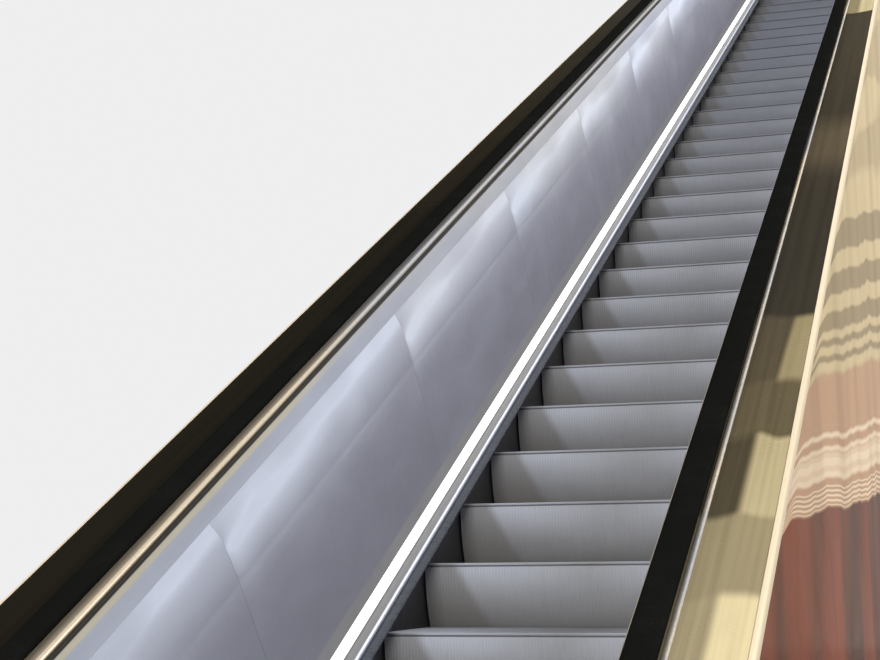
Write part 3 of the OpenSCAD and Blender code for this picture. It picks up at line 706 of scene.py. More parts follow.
def polished_deck(side, dark, light, pattern):
    """Tinted polished deck, dark as a painted reflection, with soft painted reflection patches
    along it
    """
    f = Finish(f"polished_deck_{side}", Metallic=0.28, Specular_IOR_Level=0.0,
               Specular_Tint=(0.28, 0.25, 0.18, 1.0))
    along, = f.read("along")
    across = f.math("ABSOLUTE", f.axes()[0])
    # Dark painted reflection with light painted reflection patches
    base = f.mix(f.group("deck_patches", Along=along, Across=across)[pattern], dark, light)
    haze = f.ramp(f.noise((along * 0.8, across * 60.0, 1.0)), 0.35, 0.75) * 0.35
    f.paint(Base_Color=f.mix(haze, base, f.mix(0.55, base, BLACK)),
            Roughness=f.wear(5.0, 0.8) * 0.10 + 0.24)
    f.bump(f.dents(Along=along, Across=across, Size=1.8), 1.0, 0.004)


def cladding_steel(c):
    """Champagne mirror steel of the outer cladding, gently rippled, with painted reflections on
    its right side
    """
    f = Finish("polished_cladding", Specular_IOR_Level=0.0, Specular_Tint=(0.42, 0.26, 0.13, 1.0))
    x, along, height = f.axes()
    bands = f.group("cladding_bands", Along=along, Height=height)
    # Painted reflections: warm drapes in the dark lower part, and darker folds over the banded
    # side
    drape = f.ramp(f.noise((along * 1.5, height * 0.45, 4.0)), 0.43, 0.64) * 0.90
    folds = f.ramp(f.noise((along * 3.0, height * 0.4, 9.0), 1.0, 1.0), 0.35, 0.75)
    right_side = f.ramp(x, 0.0, 0.1)
    # The painted reflections lie on the right side only, between these lengths
    mirrored = right_side * (f.ramp(along, 2.2, 3.8) * f.ramp(along, 13.0, 9.5))
    # Painted reflection bands, blush and lines, and the dark foot with its warm drapes
    banded = f.coats(c.cladding, (bands["Broad"] * 0.66, c.cladding_dark),
                     (bands["Blush"] * 0.85, c.cladding_blush),
                     (f.minimum(bands["Fine"] * 0.85, 0.85), c.cladding_line),
                     (bands["Below"], f.mix(drape, c.cladding_low, c.cladding_warm)))
    f.paint(Metallic=0.80 - mirrored * 0.52, Roughness=f.wear(5.0, 0.6) * 0.10 + 0.16,
            Base_Color=f.coats(c.cladding_plain, (mirrored, banded),
                               (folds * (mirrored * 0.18), BLACK)))
    f.bump(f.dents(Along=along, Across=height, Size=1.1), 1.0, 0.012)


def bright_seal(c):
    """Slim edge beside the handrail with a painted glint, here bright and there dull"""
    f = Finish("deck_seal", Metallic=0.7, Roughness=0.38)
    along, = f.read("along")
    lengths = f.noise(((along - 4.75) * 1.25, 0.0, 0.0), 1.0, 1.0)
    fine = f.noise(f.place(), 60.0, 3.0, 0.7)
    # Painted glint in lengths along the seal
    bright = f.ramp(lengths, 0.38, 0.62) * f.ramp(fine, 0.2, 0.55)
    f.paint(Base_Color=f.mix(bright, rgba(c.trim, 0.75), rgba(c.deck_edge, 0.9)))
    f.bump(fine, 0.4, 0.002)


def brushed_panel(c, name, carried=False):
    """Brushed steel with one broad soft painted highlight streak up each panel, broken at the
    seams, and painted reflections of the strip near the top
    """
    f = Finish(name, Metallic=0.35, Anisotropic=0.4)
    if carried:
        (_, along, up), bay, share = f.axes(), 0.0, 0.5
    else:
        along, up, bay, share = f.read("along up bay share")
    place = {"Along": along, "Across": up, "Bay": bay}
    streaks = f.group("panel_streaks", Share=share, **place)
    brush = f.group("fine_brushing", Fineness=1100.0, **place)
    # Painted highlight streaks, and the painted warm reflection of the strip mixed with stains,
    # over the brushed steel
    lit = f.coats(c.panel, (streaks["Shine"], c.panel_light),
                  (streaks["Warmth"], c.panel_warm))
    if not carried:
        # Painted dark reflection of the strip's brown underside, on the cap just under it
        under_rail = f.ramp(up, 0.760, 0.764)
        lit = f.mix(under_rail, lit, rgba(c.champagne, 0.13))
    f.paint(Base_Color=f.mix(brush["Shade"] * 0.22, lit, f.mix(0.5, lit, BLACK)),
            Roughness=f.wear(3.0, 0.8) * 0.12 + 0.40)
    f.bump(f.dents(Size=2.2, **place) + brush["Height"] * 0.010, 1.0, 0.012)


def rubber(c):
    """Black rubber, a little dusty"""
    f = Finish("handrail_rubber", Specular_IOR_Level=0.0)
    wear = f.wear(9.0)
    f.paint(Base_Color=f.mix(wear, c.rubber, rgba(c.rubber, 1.7)),
            Roughness=wear * 0.22 + 0.48)
    f.bump(f.noise(f.place(), 700.0, 2.0, 0.6), 0.25, 0.0004)


def cast_aluminium(c):
    """Die-cast steps: grey, dulled by feet, with scuffs; darker in the grooves; painted shade on
    the nose, in the recess, at each riser's foot and on the upper steps; a painted shadow in each
    riser's corner and a painted sheen near it
    """
    f = Finish("step_aluminium", Metallic=0.14, Specular_IOR_Level=0.03)
    x, _, z = f.axes()
    along, dirt, bay, share = f.read("along up bay share")
    tone = f.noise((x * 2.2, z * 7.0, bay * 5.0), 1.0, 3.0, 0.55)
    streaks = f.noise((x * 45.0, z * 2.5, bay))
    shade = f.ramp(tone, 0.3, 0.75) * 0.30 + f.ramp(streaks, 0.4, 0.8) * 0.10
    corner = 0.5 - f.math("ABSOLUTE", x) - share * 0.11
    # Painted sheen near the upper corners of the near risers
    sheen = f.ramp(corner, 0.62, 0.09) * f.ramp(share, 0.62, 0.05) * f.ramp(along, 13.0, 5.0)
    riser = f.ramp(share, 0.0, 0.02)
    f.paint(Roughness=f.wear(7.0) * 0.22 + 0.38, Base_Color=f.coats(
        c.aluminium, (shade, rgba(c.aluminium, 0.62)),
        # Painted shade: the upper steps cooler and darker
        (f.ramp(along, 5.0, 15.0) * 0.75, c.aluminium_cool),
        (sheen * 0.55, c.aluminium_sheen),
        # Painted shadow in each riser's side corner, and painted shade darker towards its foot
        (riser * (f.ramp(corner, 0.112, 0.072) * 0.60), c.aluminium_warm),
        (f.ramp(share, 0.45, 1.0) * 0.52, rgba(c.aluminium_warm, 0.8)),
        # Darker in the grooves; painted shade on the nose and in the recess under it
        (dirt * 0.75, rgba(c.aluminium, 0.16))))
    f.bump(f.noise(f.place(), 420.0, 2.0, 0.6), 0.25, 0.0006)


def plain_metal(name, colour, rough, metallic=1.0, grain=260.0, depth=0.0004):
    """Metal or paint with soft stains and a fine grain"""
    f = Finish(name, Metallic=metallic)
    wear = f.wear(8.0)
    stain = f.ramp(f.noise(f.place(), 3.0, 3.0, 0.55), 0.35, 0.7) * 0.35
    f.paint(Roughness=wear * 0.2 + rough, Base_Color=f.coats(
        rgba(colour), (stain, rgba(colour, 0.72)), (wear * 0.4, rgba(colour, 1.3))))
    f.bump(f.noise(f.place(), grain, 2.0, 0.6), 0.3, depth)


def rounded_moulding(c):
    """Rounded edge of bright metal with a painted highlight, below a dull grey flat"""
    f = Finish("bright_moulding", Metallic=0.55, Roughness=0.34)
    along, up = f.read("along up")
    tone = f.noise((along * 2.0, up * 400.0, 0.0))
    # Dull grey on the flat above the rounded edge, which is painted bright as a highlight
    flat = f.ramp(up, 0.0696, 0.0703)
    f.paint(Base_Color=f.coats(c.moulding, (tone * 0.3, rgba(c.moulding, 0.7)),
                               (flat, rgba(c.trim, 0.52))))
    f.bump(tone, 0.2, 0.0001)


def bristles(c):
    """Tufts from dark to pale, darkest at their tips"""
    f = Finish("skirt_brush", Roughness=0.6)
    bay, share = f.read("bay share")
    speck, blotch = (f.noise(f.place(), *size) for size in ((420.0, 2.0, 0.7), (90.0, 2.0, 0.6)))
    pale = f.ramp(bay * 0.16 + speck * 0.7 + blotch * 0.4, 0.35, 0.95)
    f.paint(Base_Color=f.coats(rgba(c.brush, 0.55), (pale, rgba(c.brush, 2.0)),
                               (share * 0.45, rgba(c.brush, 0.25))))
    f.bump(speck, 0.3, 0.0006)


def lit_diffuser(c):
    """Glowing diffuser above a dull lower edge"""
    f = Finish("light_line", Roughness=0.35, Emission_Strength=1.25)
    up, = f.read("up")
    lit = f.ramp(up, 0.0780, 0.0796)
    glow = f.mix(f.noise(f.place(), 5.0) * 0.06, WHITE, (0.90, 0.95, 1.0, 1.0))
    f.paint(Base_Color=f.mix(lit, rgba(c.trim, 0.7), c.light),
            Emission_Color=f.mix(lit, BLACK, glow))


def make_materials(c):
    """Make the shared groups and every finish"""
    for group in (brushing_group, waviness_group, streak_group, patch_group, band_group,
                  wear_group):
        group()
    brushed_panel(c, "brushed_panel")
    brushed_panel(c, "newel_steel", carried=True)
    polished_deck("right", c.deck, c.deck_light, "Blocks")
    # The left deck is painted darker, a darker painted reflection
    polished_deck("left", rgba(c.deck, 0.35), c.deck_light, "Slim")
    for finish in (rubber, tinted_guide, pale_edge, bright_seal, cladding_steel, cast_aluminium,
                   bristles, rounded_moulding, lit_diffuser):
        finish(c)
    plain_metal("comb_metal", rgba(c.aluminium, 1.9), 0.36)
    plain_metal("floor_plate", c.floor_plate, 0.34)
    plain_metal("track_steel", c.floor_plate, 0.4)
    plain_metal("skirt_panel", c.skirt, 0.32, 0.2, 900.0, 0.0001)
    plain_metal("trim_aluminium", c.trim, 0.38, 0.4, 9.0, 0.0001)
    plain_metal("truss_paint", c.truss, 0.5, 0.0)
    plain_metal("bottom_sheet", rgba(c.truss, 2.6), 0.5, 0.0)
    plain_metal("inlet_rubber", c.rubber, 0.5, 0.0, 700.0)


FINISHES = {}


def material(name):
    """A finish made by the first operator"""
    return bpy.data.materials[FINISHES[name]]


def cover(node, finish):
    """Put a finish on a piece that comes from the frame"""
    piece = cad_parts[node]
    if not piece.material_slots:
        piece.data.materials.append(material(finish))
    for holder in piece.material_slots:
        holder.material = material(finish)


# Operators, one for each group of pieces

class PieceOperator:
    bl_options = {"REGISTER", "UNDO"}

    def execute(self, context):
        self.make(context.scene, Route(context.scene), Section(context.scene))
        return {"FINISHED"}


class ESCALATOR_OT_finishes(PieceOperator, bpy.types.Operator):
    """Make the finishes and put them on the pieces that come from the frame"""
    bl_idname = "escalator.finishes"
    bl_label = "Finishes"

    carried = {
        "track_steel": "step_tracks",
        "comb_metal": "comb_plate_lower comb_plate_upper",
        "skirt_panel": "skirt_left skirt_right",
        "trim_aluminium": "light_trim_left light_trim_right",
        "newel_steel": "newel_lower_left newel_lower_right newel_upper_left newel_upper_right",
        "inlet_rubber": "handrail_inlets",
        "bottom_sheet": "bottom_sheets",
        "truss_paint": "balustrade_posts_left balustrade_posts_right truss_left truss_right "
                       "truss_cross_members end_beam_lower end_frame_upper",
    }

    def make(self, scene, route, section):
        make_materials(scene.escalator_colours)
        for finish, nodes in self.carried.items():
            for node in nodes.split():
                cover(node, finish)


class ESCALATOR_OT_steps(PieceOperator, bpy.types.Operator):
    """Build the steps with cleated treads and curved cleated risers"""
    bl_idname = "escalator.steps"
    bl_label = "Steps"

    # The nose from the tread's edge to the recess above the riser, and the riser's rows
    nose = [(0.012, 0.0), (0.003, -0.0006), (0.0006, -0.0025), (0.0005, -0.0068),
            (0.0042, -0.0078), (0.0042, -0.0124)]
    rows = (0.052, 0.16, 0.32, 0.48, 0.66, 0.83, 1.0)
    # Length kept clear at the upper comb, and the room under a tread that the wheels need
    clear, wheel_room = 0.165, 0.23
    # Painted shade on the nose, the share of the darkening in the riser's grooves, and the shift
    # of the stains per step
    nose_dirt, riser_dirt, stain_shift = 0.42, 0.07, 0.37

    def make(self, scene, route, section):
        s, names = scene.escalator_steps, ("lower_landing", "lower_flight", "middle_flight",
                                           "upper_flight", "upper_landing")
        start = math.ceil((route.s2 - s.first) / s.pitch)
        end = int((route.s3 - s.first) / s.pitch) + 1
        third = round((end - start) / 3)
        count = int((route.s5 - self.clear - s.first) / s.pitch) + 1
        marks = (0, start, start + third, start + 2 * third, end, count)
        for name, first, after in zip(names, marks, marks[1:]):
            shape = Shape()
            for i in range(first, after):
                place = route.point(s.first + i * s.pitch)
                floor = scene.escalator_balustrade.sheet - place[1]
                for part in (self.surface, self.body):
                    part(shape, s, section.half, place, floor, i * self.stain_shift)
            shape.build(f"steps_{name}_cleated", "step_aluminium", [f"steps_{name}"], 25)

    def curve(self, s, inset, rows):
        """Points down a riser, whose curve has its centre at the tread's rear"""
        r, fall = s.depth - inset, math.asin(s.riser_height / s.depth)
        return [(s.depth - r * math.cos(fall * k), -r * math.sin(fall * k)) for k in rows]

    def line(self, s, tread_inset, riser_inset, floor):
        """Tread and riser from the tread's rear to the foot, cut off at the floor"""
        line = [(s.depth - 0.0005, -tread_inset), (self.nose[0][0], -tread_inset), *self.nose,
                *self.curve(s, riser_inset, self.rows)]
        return [(y, max(z, floor)) for y, z in line]

    def surface(self, shape, s, half, place, floor, bay):
        """Cleats and grooves, side by side"""
        y0, z0 = place
        high = self.line(s, 0.0, 0.0, floor)
        low = self.line(s, s.tread_groove, s.riser_groove, floor)
        k = next((i for i, (y, z) in enumerate(high) if z <= floor), len(high) - 1) + 1
        pitch, flank = (2 * half - s.cleat_width) / (s.cleats - 1), 0.0006
        lines = []
        for i in range(s.cleats):
            x = -half + i * pitch
            lines += [(x, high, 0.0), (x + s.cleat_width, high, 0.0)]
            if i < s.cleats - 1:
                lines += [(x + s.cleat_width + flank, low, 1.0), (x + pitch - flank, low, 1.0)]
        first = len(shape.verts)
        tread_end, brow_end, recess_end = 2, 6, 8
        for x, line, dirt in lines:
            for j, (y, z) in enumerate(line[:k]):
                # Darker in the tread's grooves, painted shade on the nose and in the recess, and
                # faint darkening in the riser's grooves
                shade = (dirt if j < tread_end else self.nose_dirt if j < brow_end
                         else 1.0 if j < recess_end else dirt * self.riser_dirt)
                shape.point(x, y0 + y, z0 + z, y0 + y, shade, bay, max(0.0, -z / s.riser_height))
        for i in range(len(lines) - 1):
            a, b = first + i * k, first + (i + 1) * k
            shape.faces += [(a + j, b + j, b + j + 1, a + j + 1) for j in range(k - 1)]

    def body(self, shape, s, half, place, floor, bay):
        """Underside, cheeks and rollers, which only show from below and behind"""
        top, under = -s.tread_groove - 0.0006, -s.tread_groove - 0.016
        rear, base = s.depth - 0.001, max(under, floor)
        shape.prism([(0.014, top), (rear, top), (rear, base), (0.026, base)], -half, half, place,
                    bay)
        if floor >= -self.wheel_room:
            return
        rows = [0.08 + 0.92 * k / 6 for k in range(7)]
        shell = self.curve(s, s.riser_groove + 0.0012, rows) + self.curve(s, 0.009, rows[::-1])
        shape.prism(shell, -half, half, place, bay)
        cheek = [(0.02, under), (s.depth - 0.008, under), (s.depth - 0.008, under - 0.018),
                 (0.154, -0.198), (0.088, -0.208), (0.076, -0.178), (0.048, -0.12)]
        wheel = arc(0.11, -0.188, 0.038, 0, 340, 17)
        for outline, thick, inset in ((cheek, 0.012, 0.002), (wheel, 0.024, 0.014)):
            for x in (-half + inset, half - inset - thick):
                shape.prism(outline, x, x + thick, place, bay)


class ESCALATOR_OT_handrails(PieceOperator, bpy.types.Operator):
    """Build the handrails and the polished guides that carry them"""
    bl_idname = "escalator.handrails"
    bl_label = "Handrails"

    def make(self, scene, route, section):
        b = scene.escalator_balustrade
        x, top, low = section.rail_x, b.handrail_height, section.lip
        head_low, head_top = top - 0.015, top - 0.008
        slot, neck, crown, r, hair = 0.012, 0.008, 0.0006, 0.0095, 0.0002
        half = b.handrail_width / 2
        hook, flat = half - 0.008, half - 0.013
        belt = [(x + flat * k, top - crown * k * k) for k in (-0.8, -0.4, 0.0, 0.4, 0.8)]
        belt += arc(x + half - r, top - r - crown, r, 68, -66, 9)
        belt += [(x + hook, low), (x + slot, low), (x + slot, head_low - 0.0003),
                 (x - slot, head_low - 0.0003), (x - slot, low), (x - hook, low)]
        belt += arc(x - half + r, top - r - crown, r, 246, 112, 9)
        back, deck, bead = section.guide_back, b.deck_height - hair, b.bead - hair
        guide = arc(section.bead_x, section.bead_z, bead, 90, 270, 14)
        guide += [(back, section.cap_top + 0.0003), (back, deck), (x + neck, deck),
                  (x + neck, head_low), (x + hook, head_low), (x + hook, head_top),
                  (x - hook, head_top), (x - hook, head_low), (x - neck, head_low),
                  (x - neck, section.bead_z + bead)]
        frames = route.whole()
        reach = scene.escalator_route.newel_base - 0.01
        first, *_, last = frames
        drawn = [(first[0] + reach, *first[1:]), *frames, (last[0] - reach, *last[1:])]
        for side in SIDES:
            swept(belt, drawn, side, f"handrail_belt_{side}", "handrail_rubber",
                  [f"handrail_{side}"], 40)
            swept(guide, frames, side, f"handrail_strip_{side}", "guide_steel",
                  [f"handrail_guide_{side}"], 40)


class ESCALATOR_OT_panels(PieceOperator, bpy.types.Operator):
    """Build the inner panels in bays"""
    bl_idname = "escalator.panels"
    bl_label = "Inner panels"

    # Height square to the route, and how far a seam on the incline leans there
    lean = ((0.713, 0.0), (0.643, 0.047), (0.549, 0.071), (0.408, 0.096), (0.15, 0.137))

    def make(self, scene, route, section):
        edge, hair, gap = 0.0014, 0.0003, scene.escalator_balustrade.panel_gap
        inner, thick = section.panel, section.thick
        rows = [section.low + (section.high - section.low) * k / 10 for k in range(11)]
        panel = [(inner(n), n) for n in rows] + [(inner(n) + thick, n) for n in rows[::-1]]
        low, top = section.high + 0.0004, section.cap_top - hair
        cap = [(inner(low) + hair, low), (inner(low), low + 2 * hair), (inner(top), top),
               (inner(top) + thick, top), (inner(low) + thick, low)]
        for name, side in SIDES.items():
            shape = Shape()
            for i, (s0, s1) in enumerate(bay_spans(route, gap / 2)):
                frames = [route.at(s0), route.at(s0 + edge), *route.run(s0, s1)[1:-1],
                          route.at(s1 - edge), route.at(s1)]
                first = len(shape.verts)
                shape.sweep(panel, frames, side, bay=i + 1.0)
                for end in (s0, s1):
                    if route.s2 + 0.01 < end < route.s3 - 0.01:
                        self.slant(shape, first, end, route)
            shape.sweep(cap, route.run(*route.base), side, bay=40.0)
            shape.build(f"panel_bays_{name}", "brushed_panel", [f"inner_panels_{name}"])

    def slant(self, shape, first, end, route):
        """Lean a seam on the incline a little, with most of the lean near its top"""
        for i in range(first, len(shape.verts)):
            if abs(shape.along[i] - end) > 0.01:
                continue
            n = min(max(shape.up[i], self.lean[-1][0]), self.lean[0][0])
            push = next(p1 + (p0 - p1) * (n - n1) / (n0 - n1)
                        for (n0, p0), (n1, p1) in zip(self.lean, self.lean[1:]) if n >= n1)
            x, y, z = shape.verts[i]
            shape.verts[i] = (x, y + push * math.cos(route.a), z + push * math.sin(route.a))
            shape.along[i] += push


def bay_spans(route, gap):
    """Start and end of each bay of a member that is built in lengths"""
    marks = [route.base[0], route.s1, *route.joints, route.s4, route.base[1]]
    return [(a + (gap if i else 0.0), b - (gap if i < len(marks) - 2 else 0.0))
            for i, (a, b) in enumerate(zip(marks, marks[1:]))]


class ESCALATOR_OT_decks(PieceOperator, bpy.types.Operator):
    """Build the polished decks with their rounded edge, painted pale as a highlight, and the seal
    with its painted glint
    """
    bl_idname = "escalator.decks"
    bl_label = "Outer decks"

    def make(self, scene, route, section):
        b = scene.escalator_balustrade
        n, t, r, out, back = b.deck_height, b.sheet, b.deck_edge, section.out, section.guide_back
        seam = out - 0.013
        flat = [(back, n - t), (back, n), (seam - 0.001, n), (seam, n - 0.0008), (seam, n - t)]
        hem = n - r - 0.010
        cap = [(seam + 0.0006, n - t), (seam + 0.0006, n - 0.0006), (seam + 0.0012, n),
               *arc(out - r, n - r, r, 90, 0, 8)[1:], (out, hem), (out - t, hem),
               *arc(out - r, n - r, r - t, 0, 84, 6)]
        edge = section.rail_x + b.handrail_width / 2
        seal = [(edge + x, n + rise) for x, rise in (
            (-0.003, -0.0002), (0.007, -0.0002), (0.0055, 0.0022), (0.001, 0.003),
            (-0.003, 0.0022))]
        frames = route.whole()
        for side in SIDES:
            for outline, label, finish, nodes in (
                    (flat, "sheet", f"polished_deck_{side}", [f"outer_deck_{side}"]),
                    (seal, "seal", "deck_seal", ()), (cap, "edge", "deck_edge", ())):
                swept(outline, frames, side, f"deck_{label}_{side}", finish, nodes, 30.0,
                      "polished_deck")


class ESCALATOR_OT_cladding(PieceOperator, bpy.types.Operator):
    """Put the polished finish, with its painted reflections, on the outer cladding"""
    bl_idname = "escalator.cladding"
    bl_label = "Outer cladding"

    def make(self, scene, route, section):
        for side in SIDES:
            cover(f"outer_cladding_{side}", "polished_cladding")


class ESCALATOR_OT_skirt_line(PieceOperator, bpy.types.Operator):
    """Build the bright moulding with its painted highlight, the light line and the skirt brush"""
    bl_idname = "escalator.skirt_line"
    bl_label = "Skirt line"

    def make(self, scene, route, section):
        b, x, low = scene.escalator_balustrade, section.moulding_x, section.skirt_top
        r, skirt, thick = section.moulding_r - 0.0001, section.skirt_in - 0.0003, 0.006
        nose = arc(section.nose_x, section.nose_z, r, 96, 270, 14)
        nose += [(skirt, section.nose_z - r), (skirt, low), (x + thick, low),
                 (x + thick, low + b.moulding), (x, low + b.moulding)]
        foot, head = section.light_x, section.light_x + section.slant
        lens = [(foot, section.light_low), (foot + 0.004, section.light_low),
                (head + 0.0012, section.light_high), (head, section.light_high)]
        frames = route.run(*route.base)
        for name, side in SIDES.items():
            swept(nose, frames, name, f"moulding_nose_{name}", "bright_moulding",
                  [f"skirt_moulding_{name}"], 40)
            swept(lens, frames, name, f"light_lens_{name}", "light_line",
                  [f"light_line_{name}"], 40)
            self.brush(b, route, section, name, side)

    def brush(self, b, route, section, name, side):
        """Tufts of bristles standing out of a holder on the skirt"""
        chance = random.Random(11 if side > 0 else 12)
        shape = Shape()
        back, root = section.skirt_in - 0.004, section.nose_x + 0.001
        top = section.nose_z - section.moulding_r
        low = top - b.brush_height
        holder = [(back, top), (root, top), (root - 0.004, top - 0.0015),
                  (root - 0.004, top - 0.007), (root, low), (back, low)]
        shape.sweep(holder, route.run(*route.base), side, bay=0.05)
        # Two rows of tufts, the second lower and half a pitch on
        rows = [(0.0, top - 0.0015, top - 0.0045), (b.tuft_pitch / 2, top - 0.0043, top - 0.0075)]
        s = route.base[0] + 0.004
        while s < route.base[1] - 0.006:
            for shift, root_n, tip_n in rows:
                self.tuft(shape, route, side, s + shift, root, root_n,
                          section.skirt_in - b.brush_reach, tip_n, chance, b)
            s += b.tuft_pitch
        shape.build(f"brush_tufts_{name}", "skirt_brush", [f"skirt_brush_{name}"], 180)

    def tuft(self, shape, route, side, s, root, n, tip_x, tip_n, chance, b):
        """One tuft: a flat wedge of bristles that opens a little towards its tip"""
        shade = chance.random()
        width, tall = b.tuft_pitch * 0.62, 0.0014
        lean = (chance.random() - 0.5) * 0.0022
        tip_x += 0.002 * chance.random()
        ends = []
        for x, height, half, shift in ((root, n, width / 2, 0.0),
                                       (tip_x, tip_n, width * 0.58, lean)):
            for ds in (-half, half):
                y, z, ny, nz, _ = route.at(s + shift + ds)
                ends += [shape.point(side * x, y + (height + k) * ny, z + (height + k) * nz,
                                     s, height, shade, float(x < root)) for k in (-tall, tall)]
        a, c, d, e, p, q, r, t = ends
        shape.faces += [(c, e, t, q), (a, p, r, d), (a, c, q, p), (d, r, t, e), (p, q, t, r)]


class ESCALATOR_OT_landings(PieceOperator, bpy.types.Operator):
    """Build the ribbed floor plates and the toothed combs"""
    bl_idname = "escalator.landings"
    bl_label = "Landings"

    def make(self, scene, route, section):
        r, s = scene.escalator_route, scene.escalator_steps
        half = section.skirt_in - 0.001
        for label, sign, line, z in (("lower", 1, route.comb_y, route.z0),
                                     ("upper", -1, route.level_y + r.upper_level, route.z1)):
            self.plates(route, half, label)
            shape = Shape()
            self.comb(shape, half, line, sign, z, s, r.floor_step)
            shape.build(f"comb_teeth_{label}", "comb_metal", [f"combs_{label}"])

    def comb(self, shape, half, line, sign, z, s, step):
        """Comb segments with one tooth for each groove of a tread"""
        rear, hollow, joint, teeth = -0.110, -0.068, 0.0005, 22
        base = [(rear, step - 0.006), (rear, step - 0.0004), (rear + 0.0005, step),
                (rear + 0.030, step - 0.001), (-0.050, 0.011), (-0.050, 0.001), (hollow, 0.001),
                (hollow, step - 0.0081)]
        tooth = [(-0.052, -0.005), (-0.052, 0.010), (-0.006, 0.003), (-0.0008, 0.0009), (0.0, 0.0),
                 (0.0, -0.003), (-0.002, -0.005)]
        base, tooth = ([(sign * y, q) for y, q in outline][::sign] for outline in (base, tooth))
        pitch = (s.width - s.cleat_width) / (s.cleats - 1)
        first = -s.width / 2 + s.cleat_width / 2
        ends = [-half - joint, *(first + teeth * i * pitch for i in range(1, 5)), half + joint]
        for i, (a, b) in enumerate(zip(ends, ends[1:])):
            shape.prism(base, a + joint, b - joint, (line, z), i * 0.3)
        wide = (pitch - s.cleat_width) / 2 - 0.0013
        for i in range(s.cleats - 1):
            x = first + (i + 0.5) * pitch
            shape.prism(tooth, x - wide, x + wide, (line, z), i * 0.1)

    def plates(self, route, half, label):
        """Plates with fine ribs along the travel, in the places that the frame gives them"""
        (x0, y0, z0), (x1, y1, z1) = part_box(f"floor_plates_{label}")
        gap, clear = 0.001, 0.005
        if label == "lower":
            edge = route.point(route.base[0])[0] - clear
            mid = (y0 + edge + clear) / 2
            spans = [(x0, x1, y0, mid - gap), (x0, x1, mid, edge), (-half, half, edge + gap, y1)]
        else:
            edge = route.point(route.base[1])[0] + clear
            mid = (y1 + edge - clear) / 2
            spans = [(x0, x1, mid + gap, y1), (x0, x1, edge, mid), (-half, half, y0, edge - gap)]
        shape = Shape()
        for i, span in enumerate(spans):
            self.ribbed(shape, *span, z0, z1, i)
        shape.build(f"ribbed_plates_{label}", "floor_plate", [f"floor_plates_{label}"])

    def ribbed(self, shape, x0, x1, y0, y1, z0, z1, bay):
        """One plate: a frame round a field of ribs"""
        border, pitch, dip = 0.02, 0.010, 0.0025
        left, right, front, rear = x0 + border, x1 - border, y0 + border, y1 - border
        low, high = z1 - dip, z1 - 0.0002
        shape.bar((x0, y0, z0), (x1, y1, low), bay)
        for a, b, c, d in ((x0, left, y0, y1), (right, x1, y0, y1), (left, right, y0, front),
                           (left, right, rear, y1)):
            shape.bar((a, c, low), (b, d, z1), bay)
        for i in range(int((x1 - x0 - 2 * border) / pitch)):
            x = left + pitch * (i + 0.5)
            k = len(shape.verts)
            for y in (front, rear):
                for dx, z in ((-0.0028, low), (-0.0014, high), (0.0014, high), (0.0028, low)):
                    shape.point(x + dx, y, z, y, 0.0, bay)
            shape.faces += [(k + j, k + j + 1, k + j + 5, k + j + 4) for j in range(3)]


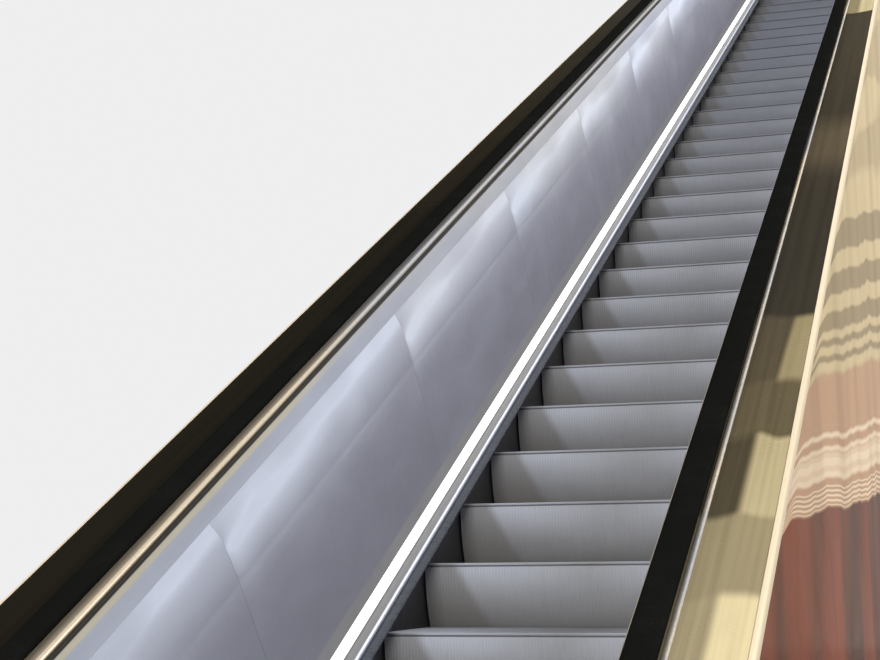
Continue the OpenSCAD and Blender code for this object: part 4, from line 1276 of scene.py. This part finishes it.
class ESCALATOR_OT_stage(PieceOperator, bpy.types.Operator):
    """Set up the pale floor, the soft light and the camera"""
    bl_idname = "escalator.stage"
    bl_label = "Stage"

    def make(self, scene, route, section):
        self.floor(scene)
        self.world(scene)
        self.lamps(scene, route)
        self.camera(scene, route)

    def floor(self, scene):
        mesh = bpy.data.meshes.new("floor")
        radius, middle, corners, drop = 27, 10, 96, 0.001
        turn = [2 * math.pi * i / corners for i in range(corners)]
        rim = [(radius * math.cos(t), middle + radius * math.sin(t), -drop) for t in turn]
        mesh.from_pydata(rim, [], [tuple(range(corners))])
        ground = bpy.data.objects.new("floor", mesh)
        scene.collection.objects.link(ground)
        paint = Finish("floor_paint", Roughness=0.9,
                       Base_Color=rgba(scene.escalator_colours.backdrop, 0.78))
        mesh.materials.append(paint.material)

    def world(self, scene):
        """Pale background: dimmer as a light than it looks"""
        world = bpy.data.worlds.new("studio")
        world.use_nodes = True
        scene.world = world
        w, dim = Wires(world.node_tree), 0.45
        background = world.node_tree.nodes["Background"]
        rays = w.outputs(w.node("ShaderNodeLightPath"))
        seen = w.maximum(rays["Is Camera Ray"],
                         w.maximum(rays["Is Glossy Ray"], rays["Is Transmission Ray"]))
        w.feed(background, "Color", rgba(scene.escalator_colours.backdrop))
        w.feed(background, "Strength", seen * (1.0 - dim) + dim)

    def lamps(self, scene, route):
        middle = (0.0, route.point((route.s2 + route.s3) / 2)[0], 3.5)
        for name, place, size, power, aim in (
                ("key", (12.0, 11.0, 13.0), (9.0, 9.0), 2900.0, (0.0, 8.0, 2.0)),
                ("front", (1.5, -6.0, 6.0), (5.0, 4.0), 900.0, (0.0, 6.0, 1.0)),
                ("fill", (-12.0, 8.0, 12.0), (14.0, 12.0), 1200.0, middle),
                ("top", (2.0, 19.0, 24.0), (12.0, 20.0), 1800.0, middle)):
            lamp = bpy.data.lights.new(name, "AREA")
            lamp.shape = "RECTANGLE"
            lamp.size, lamp.size_y = size
            lamp.energy = power
            holder = bpy.data.objects.new(name, lamp)
            holder.location = place
            ray = Vector(aim) - Vector(place)
            holder.rotation_euler = ray.to_track_quat("-Z", "Y").to_euler()
            scene.collection.objects.link(holder)

    def camera(self, scene, route):
        """The photograph's view: outside the right balustrade, near the lower landing"""
        aimed_step = 12
        y, z = route.point(scene.escalator_steps.first + aimed_step * scene.escalator_steps.pitch)
        eye = (1.047, y - 4.336, z + 0.175)
        yaw, pitch, roll = (math.radians(v) for v in (17.65, 8.10, -0.55))
        lens = bpy.data.cameras.new("camera")
        lens.lens, lens.sensor_width, lens.clip_end = 68.1, 36.0, 500.0
        holder = bpy.data.objects.new("camera", lens)
        holder.matrix_world = (Matrix.Translation(eye) @ Matrix.Rotation(yaw, 4, "Z")
                               @ Matrix.Rotation(math.pi / 2 + pitch, 4, "X")
                               @ Matrix.Rotation(roll, 4, "Z"))
        scene.collection.objects.link(holder)
        scene.camera = holder
        scene.view_settings.view_transform = "Standard"


class ESCALATOR_PT_panel(bpy.types.Panel):
    """Sizes, colours and pieces of the escalator"""
    bl_label = "Escalator"
    bl_idname = "ESCALATOR_PT_panel"
    bl_space_type = "VIEW_3D"
    bl_region_type = "UI"
    bl_category = "Escalator"

    def draw(self, context):
        for key, group in GROUPS.items():
            box = self.layout.box()
            holder = getattr(context.scene, key)
            for name in group.__annotations__:
                box.prop(holder, name)
        for operator in OPERATORS:
            self.layout.operator(operator.bl_idname)


OPERATORS = [
    ESCALATOR_OT_finishes, ESCALATOR_OT_steps, ESCALATOR_OT_handrails, ESCALATOR_OT_panels,
    ESCALATOR_OT_decks, ESCALATOR_OT_cladding, ESCALATOR_OT_skirt_line, ESCALATOR_OT_landings,
    ESCALATOR_OT_stage,
]


def register():
    for item in (*GROUPS.values(), *OPERATORS, ESCALATOR_PT_panel):
        bpy.utils.register_class(item)
    for key, group in GROUPS.items():
        setattr(bpy.types.Scene, key, PointerProperty(type=group))


def unregister():
    for key in GROUPS:
        delattr(bpy.types.Scene, key)
    for item in reversed((*GROUPS.values(), *OPERATORS, ESCALATOR_PT_panel)):
        bpy.utils.unregister_class(item)


def main():
    register()
    for operator in OPERATORS:
        group, name = operator.bl_idname.split(".")
        getattr(getattr(bpy.ops, group), name)()


if __name__ == "__main__":
    main()
